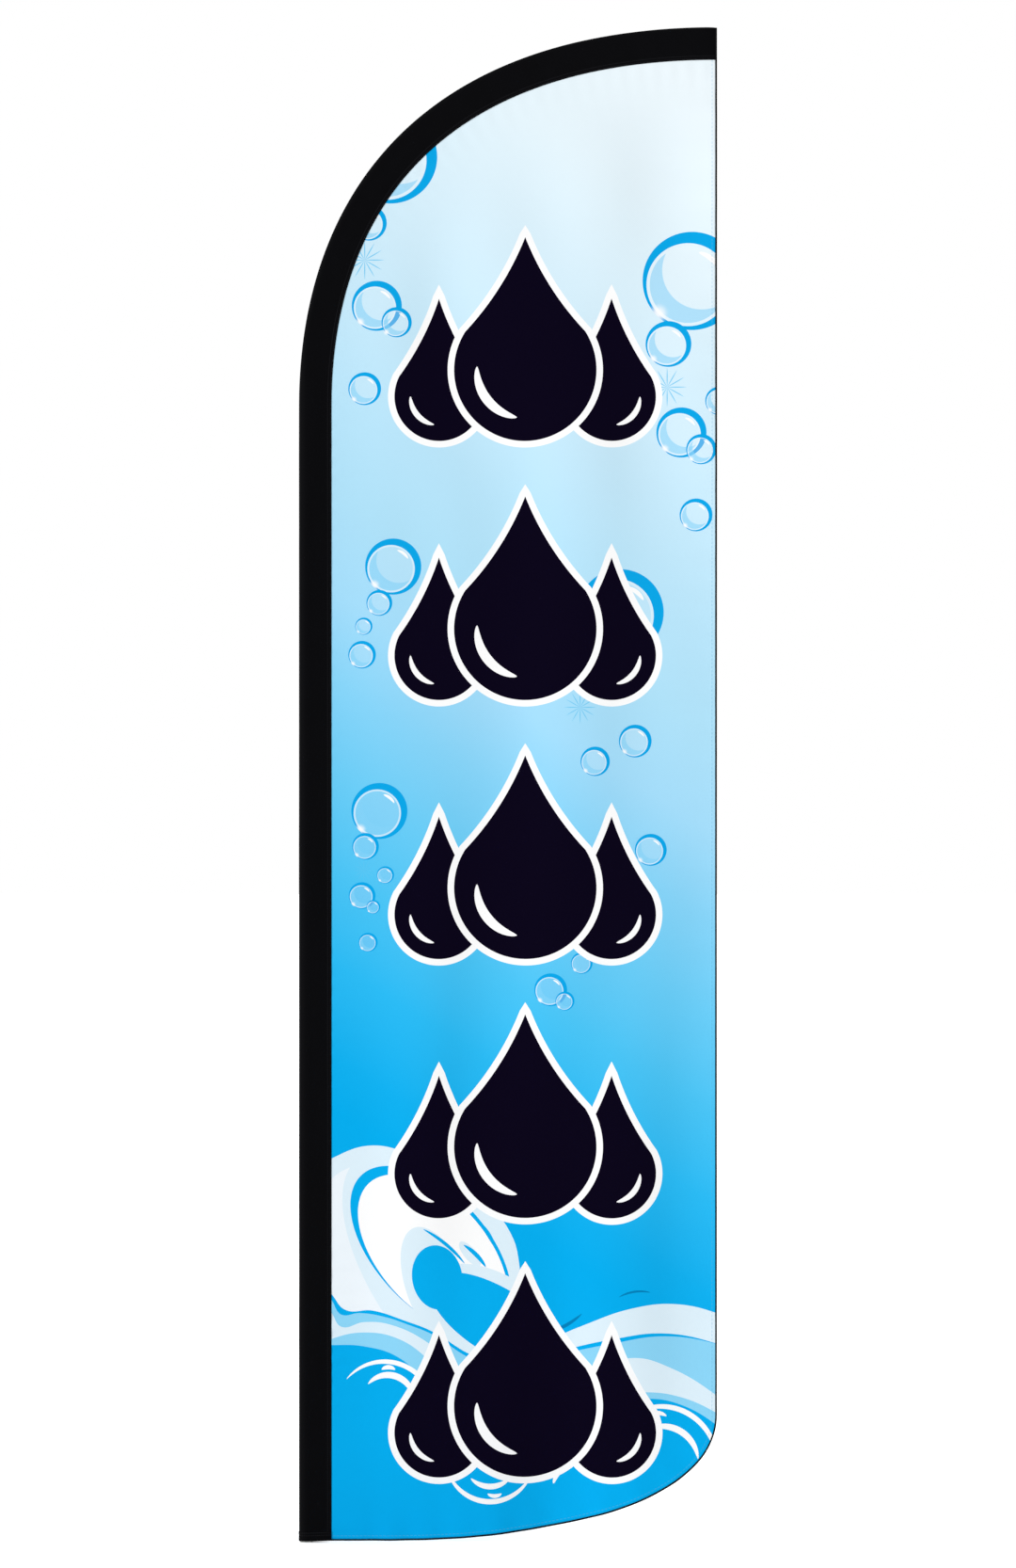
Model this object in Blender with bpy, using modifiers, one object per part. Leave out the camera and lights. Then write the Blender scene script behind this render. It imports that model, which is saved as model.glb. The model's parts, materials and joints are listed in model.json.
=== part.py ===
"""Feather flag on a bowed pole, standing on a rotating spindle.

A printed cloth panel hangs from a full-length sleeve. The sleeve runs up a straight mast and over a
quarter-round bow to the panel's outer corner. Inside it are three plug-in tubes and a tapered
fibreglass tip. The mast stands on a hub that turns on a steel spindle.

The frame: metres, +Z up, +X from the mast towards the free edge of the cloth, -Y out of the front.
The origin is the centre of the spindle's base face, on the mast's axis.

Run it with: blender --background --python part.py
"""

import math

import bmesh
import bpy
import numpy as np
from mathutils import Matrix, Vector

MM = 0.001

# Clearances
GAP = 0.3 * MM  # between pieces that touch or slide on each other
MERGE = 0.01 * MM
EDGE_BREAK = 1 * MM  # the small chamfer on turned edges

# The cloth, seen from the front
FLAG_WIDTH = 968 * MM
FLAG_HEIGHT = 3505 * MM
CLOTH_LIFT = 3 * MM  # from the base face up to the lowest cloth
SLEEVE_WIDTH = 75 * MM
BOW_RISE = 877 * MM  # height of the curved top
BOW_TOP_FULLNESS = 0.70  # handle of the bow's curve at the free corner, as a share of the width
BOW_FOOT_FULLNESS = 0.565  # handle at the mast, as a share of the rise
HEM_FLAT = 102 * MM  # level stretch of the bottom edge beside the sleeve
CORNER_RISE = 291 * MM  # height of the rounded lower corner
CORNER_FOOT_FULLNESS = 0.557
CORNER_SIDE_FULLNESS = 0.68

# The cloth's thicknesses
PANEL_THICKNESS = 0.6 * MM
SLEEVE_WALL = 0.8 * MM
SEAM_WIDTH = 5 * MM  # sewn strip where the sleeve's two plies meet
SEAM_THICKNESS = 2.2 * MM
BINDING_WIDTH = 5 * MM
BINDING_THICKNESS = 1.6 * MM
MOUTH_BAND = 22 * MM  # height of the doubled band round the sleeve's mouth
MOUTH_WALL = 1.4 * MM
TIP_CLOSURE = 30 * MM  # length over which the sleeve is sewn shut at the free corner
SLEEVE_NARROWING = 160 * MM  # length over which it closes in from the mast to the slimmer tip

# The mast's tubes, each plugged into the one below
MAST_RADIUS = 13 * MM  # outside of the lower tube
TUBE_WALL = 1.2 * MM
PLUG_DEPTH = 120 * MM
COLLAR_WALL = 1.7 * MM
COLLAR_HEIGHT = 40 * MM
LIP_HEIGHT = 2 * MM
STOP_RING_HEIGHT = 6 * MM
STOP_RING_WALL = 2.4 * MM
TUBE_COUNT = 3

# The fibreglass tip
TIP_FOOT_RADIUS = 6 * MM
TIP_END_RADIUS = 3.2 * MM
TIP_PLUG_DEPTH = 75 * MM
FERRULE_HEAD_HEIGHT = 12 * MM
FERRULE_FLOOR = 5 * MM
FERRULE_BELOW_BOW = 18 * MM  # the ferrule's head ends this far under the bow
FERRULE_OVERHANG = 1 * MM  # how far its head stands out over the tube
TIP_CAP_WALL = 1.5 * MM
TIP_CAP_LENGTH = 16 * MM
TIP_CAP_DEPTH = 11 * MM
STRAP_THICKNESS = 1 * MM
STRAP_LENGTH = 34 * MM
STRAP_HEIGHT = 12 * MM

# The spindle and its hub
BASE_FLANGE_HEIGHT = 8 * MM
WRENCH_FLAT_DEPTH = 2 * MM
THREAD_RADIUS = 4.25 * MM  # tapping size of an M10 thread
THREAD_DEPTH = 18 * MM
SCREW_HOLE_RADIUS = 2.8 * MM
SCREW_HOLE_DEPTH = 14 * MM
SCREW_RADIUS = 2.5 * MM
SCREW_HEAD_RADIUS = 4.8 * MM
SCREW_HEAD_HEIGHT = 3.4 * MM
SCREW_SOCKET_RADIUS = 1.6 * MM
SCREW_SOCKET_DEPTH = 2 * MM
WASHER_HEIGHT = 1.5 * MM
BUSH_WALL = 1.4 * MM
BUSH_LENGTH = 18 * MM
BUSH_FLANGE_HEIGHT = 2 * MM
BUSH_FLANGE_WIDTH = 3 * MM
HUB_LENGTH = 92 * MM  # above its shoulder
HUB_SHOULDER_HEIGHT = 8 * MM
HUB_SHOULDER_STEP = 0.5 * MM  # how much slimmer the shoulder is than the shoe that stands on it
HUB_WALL = 2 * MM
HUB_LOOSENESS = 0.8 * MM  # radial room for the rings between hub and tube
RING_GROOVE_DEPTH = 1 * MM
THRUST_WASHER_STEP = 2 * MM  # how much slimmer the thrust washer is than the flange
RING_INSET = 14 * MM  # from each end of the hub's body to its ring
CAP_PLUG_LENGTH = 5 * MM
CAP_HEAD_HEIGHT = 4 * MM
FOOT_FERRULE_HEIGHT = 24 * MM
FOOT_FERRULE_FLOOR = 3 * MM

# How finely round shapes are faceted, and from which angle an edge stays sharp
SHARP_ANGLE = math.radians(32)
TURN_STEPS = 32
SMALL_TURN_STEPS = 20
BOW_STEPS = 34
SECTION_ARC_STEPS = 12
SLEEVE_SIDE_STEPS = 3
TIP_ROD_STEPS = 36
CORNER_STEPS = 20

# Worked out from the values above
MAST_BORE_RADIUS = MAST_RADIUS - TUBE_WALL
HUB_RADIUS = MAST_BORE_RADIUS - HUB_LOOSENESS
HUB_BORE_RADIUS = HUB_RADIUS - HUB_WALL
BUSH_RADIUS = HUB_BORE_RADIUS - GAP
SHAFT_CLEAR_RADIUS = BUSH_RADIUS - BUSH_WALL
SHAFT_RADIUS = SHAFT_CLEAR_RADIUS - GAP
RING_RADIUS = (RING_GROOVE_DEPTH + HUB_LOOSENESS) / 2 - GAP  # of the rubber rings' own section
COLLAR_RADIUS = MAST_RADIUS + GAP + COLLAR_WALL  # the widest piece inside the sleeve
BASE_FLANGE_RADIUS = COLLAR_RADIUS
HUB_SHOULDER_RADIUS = COLLAR_RADIUS - HUB_SHOULDER_STEP
TIP_CAP_RADIUS = TIP_END_RADIUS + GAP + TIP_CAP_WALL
STRAP_HALF = TIP_CAP_RADIUS + GAP + STRAP_THICKNESS
SLEEVE_MAST_RADIUS = COLLAR_RADIUS + 2 * GAP + SLEEVE_WALL
STRAP_CORNER = math.hypot(STRAP_HALF, STRAP_HEIGHT / 2)
SLEEVE_BOW_RADIUS = max(STRAP_CORNER, TIP_FOOT_RADIUS) + 3 * GAP + SLEEVE_WALL
SLEEVE_X = -SLEEVE_MAST_RADIUS  # the sleeve's outer edge along the mast
FLY_X = SLEEVE_X + FLAG_WIDTH  # the cloth's free edge
TOP_Z = CLOTH_LIFT + FLAG_HEIGHT
BOW_Z = TOP_Z - BOW_RISE  # where the mast ends and the bow begins

WASHER_Z = BASE_FLANGE_HEIGHT + GAP
LOWER_BUSH_Z = WASHER_Z + WASHER_HEIGHT + GAP
HUB_Z = LOWER_BUSH_Z + BUSH_FLANGE_HEIGHT + GAP
SHOULDER_Z = HUB_Z + HUB_SHOULDER_HEIGHT
HUB_TOP_Z = SHOULDER_Z + HUB_LENGTH
SHAFT_TOP_Z = HUB_TOP_Z - CAP_PLUG_LENGTH - SCREW_HEAD_HEIGHT - WASHER_HEIGHT - 4 * GAP
FOOT_Z = SHOULDER_Z + GAP  # underside of the mast's foot ferrule
TUBE_FOOT_Z = FOOT_Z + FOOT_FERRULE_FLOOR + GAP
TIP_JOINT_Z = BOW_Z - FERRULE_BELOW_BOW - FERRULE_HEAD_HEIGHT  # top of the highest tube
TUBE_RISE = (TIP_JOINT_Z - TUBE_FOOT_Z) / TUBE_COUNT

COLLECTION_NAME = "feather_flag"
CUTTERS_NAME = "cutters"


def clear_scene():
    """Removes every object, so that the script starts from nothing."""
    for found in list(bpy.data.objects):
        bpy.data.objects.remove(found, do_unlink=True)


def new_collection(name):
    """A collection of that name, linked to the scene."""
    made = bpy.data.collections.new(name)
    bpy.context.scene.collection.children.link(made)
    return made


def make_material(name, colour, roughness, metallic=0.0):
    """A Principled material with one colour."""
    made = bpy.data.materials.new(name)
    made.use_nodes = True
    shader = made.node_tree.nodes["Principled BSDF"]
    shader.inputs["Base Color"].default_value = (*colour, 1.0)
    shader.inputs["Roughness"].default_value = roughness
    shader.inputs["Metallic"].default_value = metallic
    made.diffuse_color = (*colour, 1.0)
    return made


def add_object(name, data, material, parent=None):
    """Links data as an object of the part, with its material and its parent empty."""
    made = bpy.data.objects.new(name, data)
    data.materials.append(material)
    bpy.data.collections[COLLECTION_NAME].objects.link(made)
    made.parent = parent
    return made


def add_empty(name, height=0.0, parent=None):
    """An empty on the mast's axis that carries the pieces of one moving body.

    Every empty stays at the origin of its parent, so that a piece's location is the same in both.
    """
    made = bpy.data.objects.new(name, None)
    made.empty_display_size = 0.05
    made.location = (0, 0, height)
    bpy.data.collections[COLLECTION_NAME].objects.link(made)
    made.parent = parent
    return made


def turned(name, profile, material, parent, steps=TURN_STEPS):
    """A turned piece: a profile of (radius, height) points spun about Z.

    A profile that starts and ends on the axis is open. Any other is closed into a ring. Both run
    down the outer side.
    """
    mesh = bpy.data.meshes.new(name)
    points = [(radius, 0.0, height) for radius, height in profile]
    edges = [(i, i + 1) for i in range(len(points) - 1)]
    if profile[0][0] > 0:
        edges.append((len(points) - 1, 0))
    mesh.from_pydata(points, edges, [])
    made = add_object(name, mesh, material, parent)
    spin = made.modifiers.new("turn", "SCREW")
    spin.steps = steps
    spin.render_steps = steps
    spin.use_merge_vertices = True
    spin.merge_threshold = MERGE
    spin.use_smooth_shade = False
    return made


def ring_profile(inner, outer, low, high):
    """The section of a plain ring, running down its outer side."""
    return [(outer, high), (outer, low), (inner, low), (inner, high)]


def chamfered_ring_profile(inner, outer, low, high, chamfer):
    """The section of a ring whose two outer corners are cut off."""
    return [
        (outer - chamfer, high),
        (outer, high - chamfer),
        (outer, low + chamfer),
        (outer - chamfer, low),
        (inner, low),
        (inner, high),
    ]


def lipped_profile(inner, lip_inner, outer, low, high, lip):
    """The section of a sleeve with an inward lip at its top."""
    return [
        (outer, high + lip),
        (outer, low),
        (inner, low),
        (inner, high),
        (lip_inner, high),
        (lip_inner, high + lip),
    ]


def flat_outline(name, outlines, thickness, material, parent, upright):
    """A flat piece cut to closed outlines of (across, up) points.

    A second outline is a hole. An upright piece stands in the XZ plane; any other lies level.
    """
    curve = bpy.data.curves.new(name, "CURVE")
    curve.dimensions = "2D"
    curve.fill_mode = "BOTH"
    curve.extrude = thickness / 2
    for outline in outlines:
        spline = curve.splines.new("POLY")
        spline.points.add(len(outline) - 1)
        for point, (across, up) in zip(spline.points, outline):
            point.co = (across, up, 0.0, 1.0)
        spline.use_cyclic_u = True
    made = add_object(name, curve, material, parent)
    if upright:
        made.rotation_euler = (math.pi / 2, 0, 0)
    return made


def bezier(corners, share):
    """The point of a cubic Bezier curve at a share of the way along it."""
    first, second, third, fourth = corners
    rest = 1 - share
    return (
        first * rest**3
        + second * (3 * rest**2 * share)
        + third * (3 * rest * share**2)
        + fourth * share**3
    )


def bow_corners():
    """The Bezier corners of the sleeve's outer edge over the bow, from the mast to the free corner."""
    return (
        Vector((SLEEVE_X, BOW_Z)),
        Vector((SLEEVE_X, BOW_Z + BOW_FOOT_FULLNESS * BOW_RISE)),
        Vector((FLY_X - BOW_TOP_FULLNESS * FLAG_WIDTH, TOP_Z)),
        Vector((FLY_X, TOP_Z)),
    )


class Edge:
    """The sleeve's outer edge from its mouth to the free corner, measured along its length."""

    SAMPLES = 600

    def __init__(self):
        corners = bow_corners()
        shares = np.linspace(0, 1, self.SAMPLES)
        bow = np.array([bezier(corners, float(share)) for share in shares])
        foot = np.array([[SLEEVE_X, CLOTH_LIFT]])
        self.points = np.vstack([foot, bow])
        steps = np.linalg.norm(np.diff(self.points, axis=0), axis=1)
        self.lengths = np.concatenate([[0.0], np.cumsum(steps)])
        self.total = float(self.lengths[-1])
        self.bow_start = BOW_Z - CLOTH_LIFT

    def at(self, length):
        """The point at that length from the mouth, as (x, z)."""
        across = np.interp(length, self.lengths, self.points[:, 0])
        up = np.interp(length, self.lengths, self.points[:, 1])
        return Vector((float(across), float(up)))

    def inward(self, length):
        """The unit normal there, pointing towards the panel."""
        if length <= self.bow_start:
            return Vector((1.0, 0.0))
        reach = 4 * MM
        ahead = self.at(min(length + reach, self.total))
        behind = self.at(length - reach)
        along = (ahead - behind).normalized()
        return Vector((along.y, -along.x))

    def offset(self, length, depth):
        """The point at that depth inside the edge."""
        return self.at(length) + self.inward(length) * depth


def smooth(share):
    """A share from 0 to 1, eased at both ends."""
    held = min(max(share, 0.0), 1.0)
    return held * held * (3 - 2 * held)


def sleeve_radius(edge, length):
    """The radius of the sleeve's round outer side at a length along it.

    It is wide round the mast, slimmer round the tip, and flat where it is sewn shut.
    """
    slim = smooth((length - edge.bow_start) / SLEEVE_NARROWING)
    radius = SLEEVE_MAST_RADIUS + slim * (SLEEVE_BOW_RADIUS - SLEEVE_MAST_RADIUS)
    shut = smooth((length - (edge.total - TIP_CLOSURE)) / TIP_CLOSURE)
    return radius + shut * (SEAM_THICKNESS / 2 - radius)


def sleeve_section(radius, wall):
    """One ring of the sleeve's section, as (depth inside the edge, side) points.

    A round side wraps the pole and two flat sides close on the seam. A wall over 0 gives the
    inner ring, which ends short of the sewn strip.
    """
    round_radius = radius - wall
    seam_half = SEAM_THICKNESS / 2 - wall
    seam_depth = SLEEVE_WIDTH - (SEAM_WIDTH if wall else 0.0)
    run = seam_depth - radius
    lean = math.atan2(round_radius - seam_half, run)
    reach = math.pi / 2 + lean
    points = []
    for step in range(SECTION_ARC_STEPS + 1):
        angle = reach * (1 - 2 * step / SECTION_ARC_STEPS)
        depth = radius - round_radius * math.cos(angle)
        points.append((depth, round_radius * math.sin(angle)))
    start, end = points[-1], (seam_depth, -seam_half)
    lower = []
    for step in range(1, SLEEVE_SIDE_STEPS + 1):
        share = step / SLEEVE_SIDE_STEPS
        depth = start[0] + share * (end[0] - start[0])
        lower.append((depth, start[1] + share * (end[1] - start[1])))
    upper = [(depth, -side) for depth, side in reversed(lower)]
    return points + lower + upper


def sleeve_stations(edge):
    """The lengths at which the sleeve's section is set, closest together at the sewn end."""
    first = MOUTH_BAND + GAP
    foot = [first, (first + edge.bow_start) / 2]
    stop = edge.total - TIP_CLOSURE
    bow = [
        edge.bow_start + (stop - edge.bow_start) * step / BOW_STEPS
        for step in range(BOW_STEPS + 1)
    ]
    closing = [stop + TIP_CLOSURE * step / 6 for step in range(1, 7)]
    return foot + bow + closing


def add_ring(mesh, edge, length, section):
    """Adds one ring of the sleeve at that length and returns its vertices."""
    verts = []
    for depth, side in section:
        place = edge.offset(length, depth)
        verts.append(mesh.verts.new((place.x, side, place.y)))
    return verts


def bridge(mesh, first, second):
    """Joins two rings of the same count with faces."""
    count = len(first)
    for i in range(count):
        j = (i + 1) % count
        mesh.faces.new((first[i], first[j], second[j], second[i]))


def build_sleeve(edge, material, parent):
    """The black sleeve: one closed wall, open at the mouth and sewn shut at the free corner."""
    mesh = bmesh.new()
    stations = sleeve_stations(edge)
    outer = []
    inner = []
    for length in stations:
        radius = sleeve_radius(edge, length)
        outer.append(add_ring(mesh, edge, length, sleeve_section(radius, 0.0)))
        if length <= edge.total - TIP_CLOSURE + MERGE:
            section = sleeve_section(radius, SLEEVE_WALL)
            inner.append(add_ring(mesh, edge, length, section))
    for rings in (outer, inner):
        for first, second in zip(rings, rings[1:]):
            bridge(mesh, first, second)
    bridge(mesh, outer[0], inner[0])
    mesh.faces.new(outer[-1])
    mesh.faces.new(inner[-1])
    bmesh.ops.recalc_face_normals(mesh, faces=mesh.faces)
    data = bpy.data.meshes.new("pole_sleeve")
    mesh.to_mesh(data)
    mesh.free()
    return add_object("pole_sleeve", data, material, parent)


def build_mouth_band(material, parent):
    """The doubled band round the sleeve's mouth."""
    outer = sleeve_section(SLEEVE_MAST_RADIUS, 0.0)
    inner = sleeve_section(SLEEVE_MAST_RADIUS, SLEEVE_WALL)
    placed = [[(SLEEVE_X + depth, side) for depth, side in ring] for ring in (outer, inner)]
    band = flat_outline("mouth_binding", placed, MOUTH_BAND, material, parent, False)
    band.location.z = CLOTH_LIFT + MOUTH_BAND / 2
    return band


def corner_points(inset):
    """The rounded lower corner, from the level hem round to the free edge, moved in by inset."""
    corners = (
        Vector((SLEEVE_X + SLEEVE_WIDTH + HEM_FLAT, CLOTH_LIFT)),
        Vector((0.0, CLOTH_LIFT)),
        Vector((FLY_X, 0.0)),
        Vector((FLY_X, CLOTH_LIFT + CORNER_RISE)),
    )
    run = corners[3].x - corners[0].x
    corners[1].x = corners[0].x + CORNER_FOOT_FULLNESS * run
    corners[2].y = corners[3].y - CORNER_SIDE_FULLNESS * CORNER_RISE
    reach = 0.001
    points = []
    for step in range(CORNER_STEPS + 1):
        share = step / CORNER_STEPS
        ahead = bezier(corners, min(share + reach, 1.0))
        behind = bezier(corners, max(share - reach, 0.0))
        along = (ahead - behind).normalized()
        place = bezier(corners, share) + Vector((-along.y, along.x)) * inset
        points.append((place.x, place.y))
    return points


def seam_points(edge, depth, stop_x):
    """The sleeve's inner edge at that depth, from the mouth round the bow until it reaches stop_x."""
    points = [(SLEEVE_X + depth, CLOTH_LIFT)]
    for length in sleeve_stations(edge):
        place = edge.offset(length, depth)
        if place.x >= stop_x - BINDING_WIDTH:
            break
        points.append((place.x, place.y))
    points.append((stop_x, TOP_Z - depth))
    return points


def build_panel(edge, material, parent):
    """The printed panel, from the sleeve's seam to the bound edges."""
    inset = BINDING_WIDTH + GAP
    seam = seam_points(edge, SLEEVE_WIDTH + GAP, FLY_X - inset)
    seam[0] = (seam[0][0], CLOTH_LIFT + inset)
    outline = seam[::-1] + corner_points(inset)
    return flat_outline("flag_panel", [outline], PANEL_THICKNESS, material, parent, True)


def build_binding(material, parent):
    """The bound edge: one strip down the free edge, round the corner and along the bottom."""
    top = TOP_Z - SLEEVE_WIDTH - GAP
    start = SLEEVE_X + SLEEVE_WIDTH + GAP
    outside = [(start, CLOTH_LIFT)] + corner_points(0.0) + [(FLY_X, top)]
    inside = [(start, CLOTH_LIFT + BINDING_WIDTH)] + corner_points(BINDING_WIDTH)
    inside.append((FLY_X - BINDING_WIDTH, top))
    outline = outside + inside[::-1]
    return flat_outline("edge_binding", [outline], BINDING_THICKNESS, material, parent, True)


def build_tip_rod(edge, material, parent):
    """The tapered fibreglass rod, from the ferrule round the bow to the free corner."""
    curve = bpy.data.curves.new("tip_rod", "CURVE")
    curve.dimensions = "3D"
    curve.bevel_depth = 1.0
    curve.bevel_resolution = 3
    curve.use_fill_caps = True
    spline = curve.splines.new("POLY")
    spline.points.add(TIP_ROD_STEPS)
    foot = TIP_JOINT_Z + GAP - TIP_PLUG_DEPTH + FERRULE_FLOOR + GAP - CLOTH_LIFT
    end = tip_end_length(edge)
    for step, point in enumerate(spline.points):
        share = step / TIP_ROD_STEPS
        length = foot + share * (end - foot)
        place = edge.offset(length, sleeve_radius(edge, length))
        point.co = (place.x, 0.0, place.y, 1.0)
        point.radius = TIP_FOOT_RADIUS + share * (TIP_END_RADIUS - TIP_FOOT_RADIUS)
    return add_object("tip_rod", curve, material, parent)


def tip_end_length(edge):
    """How far along the edge the rod ends: its cap and strap fit before the sewn-shut stretch."""
    past_rod = TIP_CAP_LENGTH - TIP_CAP_DEPTH + GAP + STRAP_THICKNESS
    return edge.total - TIP_CLOSURE - 2 * GAP - past_rod


def place_along_tip(made, edge, flat=False):
    """Puts a piece at the rod's end, with its own +Z along the rod.

    A flat piece is drawn in its own XY plane, so its +Y is laid along the rod instead.
    """
    length = tip_end_length(edge)
    place = edge.offset(length, sleeve_radius(edge, length))
    inward = edge.inward(length)
    along = Vector((-inward.y, 0.0, inward.x))
    side = Vector((0.0, 1.0, 0.0))
    third = side.cross(along)
    axes = (side, along, third) if flat else (third, side, along)
    turn = Matrix(axes).transposed()
    made.location = (place.x, 0.0, place.y)
    made.rotation_euler = turn.to_euler()


def build_tip_cap(edge, material, parent):
    """The round-nosed cap pushed over the rod's end."""
    bore = TIP_END_RADIUS + GAP
    nose = TIP_CAP_LENGTH - TIP_CAP_DEPTH - GAP
    low = -TIP_CAP_DEPTH
    profile = [(0.0, nose + GAP)]
    rounding = 4
    for step in range(1, rounding + 1):
        angle = math.pi / 2 * step / rounding
        height = GAP + nose * math.cos(angle)
        profile.append((TIP_CAP_RADIUS * math.sin(angle), height))
    profile += [(TIP_CAP_RADIUS, low), (bore + GAP, low), (bore + GAP, GAP), (0.0, GAP)]
    made = turned("tip_cap", profile, material, parent, SMALL_TURN_STEPS)
    place_along_tip(made, edge)
    return made


def build_strap(edge, material, parent):
    """The folded webbing strap that the capped tip pushes against, inside the sleeve's end."""
    bend = 6
    outer_radius = STRAP_HALF
    inner_radius = STRAP_HALF - STRAP_THICKNESS
    nose = TIP_CAP_LENGTH - TIP_CAP_DEPTH + GAP
    outer = [(-outer_radius, nose - STRAP_LENGTH)]
    inner = [(-inner_radius, nose - STRAP_LENGTH)]
    for step in range(bend * 2 + 1):
        angle = math.pi * (1 - step / (bend * 2))
        squash = (nose + STRAP_THICKNESS) / outer_radius
        side = math.cos(angle)
        rise = math.sin(angle)
        outer.append((outer_radius * side, squash * outer_radius * rise))
        inner.append((inner_radius * side, nose * rise))
    outer.append((outer_radius, nose - STRAP_LENGTH))
    inner.append((inner_radius, nose - STRAP_LENGTH))
    outline = outer + inner[::-1]
    made = flat_outline("tip_pocket_strap", [outline], STRAP_HEIGHT, material, parent, False)
    place_along_tip(made, edge, flat=True)
    return made


def tube_radius(index):
    """The outside radius of a tube, counted from the lowest: each fits inside the one below."""
    return MAST_RADIUS - index * (TUBE_WALL + GAP)


def tube_top(index):
    """The height of a tube's upper end."""
    return TUBE_FOOT_Z + TUBE_RISE * (index + 1)


def build_tube(index, names, materials, parent):
    """One tube of the mast, with the ring that it rests on and the collar at its top."""
    radius = tube_radius(index)
    bore = radius - TUBE_WALL
    top = tube_top(index)
    if index == 0:
        low = TUBE_FOOT_Z
    else:
        socket = tube_top(index - 1)
        low = socket - PLUG_DEPTH
        ring_low = socket + GAP + LIP_HEIGHT + GAP
        profile = chamfered_ring_profile(
            radius + GAP,
            radius + GAP + STOP_RING_WALL,
            ring_low,
            ring_low + STOP_RING_HEIGHT,
            STOP_RING_WALL / 4,
        )
        turned(names["ring"], profile, materials["nylon"], parent)
    turned(names["tube"], ring_profile(bore, radius, low, top), materials["aluminium"], parent)
    if index < TUBE_COUNT - 1:
        profile = lipped_profile(
            radius + GAP,
            bore,
            radius + GAP + COLLAR_WALL,
            top - COLLAR_HEIGHT,
            top + GAP,
            LIP_HEIGHT,
        )
        turned(names["collar"], profile, materials["nylon"], parent)


def build_tip_ferrule(materials, parent):
    """The plug in the highest tube that the fibreglass tip stands in."""
    tube_bore = tube_radius(TUBE_COUNT - 1) - TUBE_WALL
    bore = TIP_FOOT_RADIUS + GAP
    low = TIP_JOINT_Z + GAP - TIP_PLUG_DEPTH
    head = TIP_JOINT_Z + GAP + FERRULE_HEAD_HEIGHT
    plug = tube_bore - GAP
    head_radius = tube_radius(TUBE_COUNT - 1) + FERRULE_OVERHANG
    profile = [
        (0.0, low + FERRULE_FLOOR),
        (bore, low + FERRULE_FLOOR),
        (bore, head),
        (head_radius - EDGE_BREAK, head),
        (head_radius, head - EDGE_BREAK),
        (head_radius, TIP_JOINT_Z + GAP),
        (plug, TIP_JOINT_Z + GAP),
        (plug, low),
        (0.0, low),
    ]
    return turned("tip_ferrule", profile, materials["nylon"], parent)


def build_foot_ferrule(materials, parent):
    """The plastic shoe on the mast's foot, which rests on the hub's shoulder."""
    profile = [
        (COLLAR_RADIUS, FOOT_Z + FOOT_FERRULE_HEIGHT),
        (COLLAR_RADIUS, FOOT_Z + EDGE_BREAK),
        (COLLAR_RADIUS - EDGE_BREAK, FOOT_Z),
        (MAST_BORE_RADIUS, FOOT_Z),
        (MAST_BORE_RADIUS, FOOT_Z + FOOT_FERRULE_FLOOR),
        (MAST_RADIUS + GAP, FOOT_Z + FOOT_FERRULE_FLOOR),
        (MAST_RADIUS + GAP, FOOT_Z + FOOT_FERRULE_HEIGHT),
    ]
    return turned("foot_ferrule", profile, materials["nylon"], parent)


def add_cutter(name, size, location):
    """A box that is only used to cut other pieces."""
    bpy.ops.mesh.primitive_cube_add(size=1.0, location=location)
    made = bpy.context.active_object
    made.name = name
    made.data.transform(Matrix.Diagonal((*size, 1.0)))
    made.hide_render = True
    made.display_type = "WIRE"
    for owner in list(made.users_collection):
        owner.objects.unlink(made)
    bpy.data.collections[CUTTERS_NAME].objects.link(made)
    return made


def build_spindle_post(materials, parent):
    """The fixed steel spindle: a base flange with two wrench flats, a shaft and two tapped holes."""
    profile = [
        (0.0, SHAFT_TOP_Z - SCREW_HOLE_DEPTH),
        (SCREW_HOLE_RADIUS, SHAFT_TOP_Z - SCREW_HOLE_DEPTH),
        (SCREW_HOLE_RADIUS, SHAFT_TOP_Z),
        (SHAFT_RADIUS - EDGE_BREAK, SHAFT_TOP_Z),
        (SHAFT_RADIUS, SHAFT_TOP_Z - EDGE_BREAK),
        (SHAFT_RADIUS, BASE_FLANGE_HEIGHT),
        (BASE_FLANGE_RADIUS, BASE_FLANGE_HEIGHT),
        (BASE_FLANGE_RADIUS, 0.0),
        (THREAD_RADIUS, 0.0),
        (THREAD_RADIUS, THREAD_DEPTH),
        (0.0, THREAD_DEPTH),
    ]
    post = turned("spindle_post", profile, materials["steel"], parent)
    depth = 10 * MM
    for name, side in (("wrench_flat_front", -1), ("wrench_flat_back", 1)):
        across = BASE_FLANGE_RADIUS - WRENCH_FLAT_DEPTH + depth / 2
        place = (0.0, side * across, BASE_FLANGE_HEIGHT / 2)
        size = (4 * BASE_FLANGE_RADIUS, depth, 3 * BASE_FLANGE_HEIGHT)
        cut = post.modifiers.new(name, "BOOLEAN")
        cut.operation = "DIFFERENCE"
        cut.object = add_cutter(name, size, place)
    return post


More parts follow.
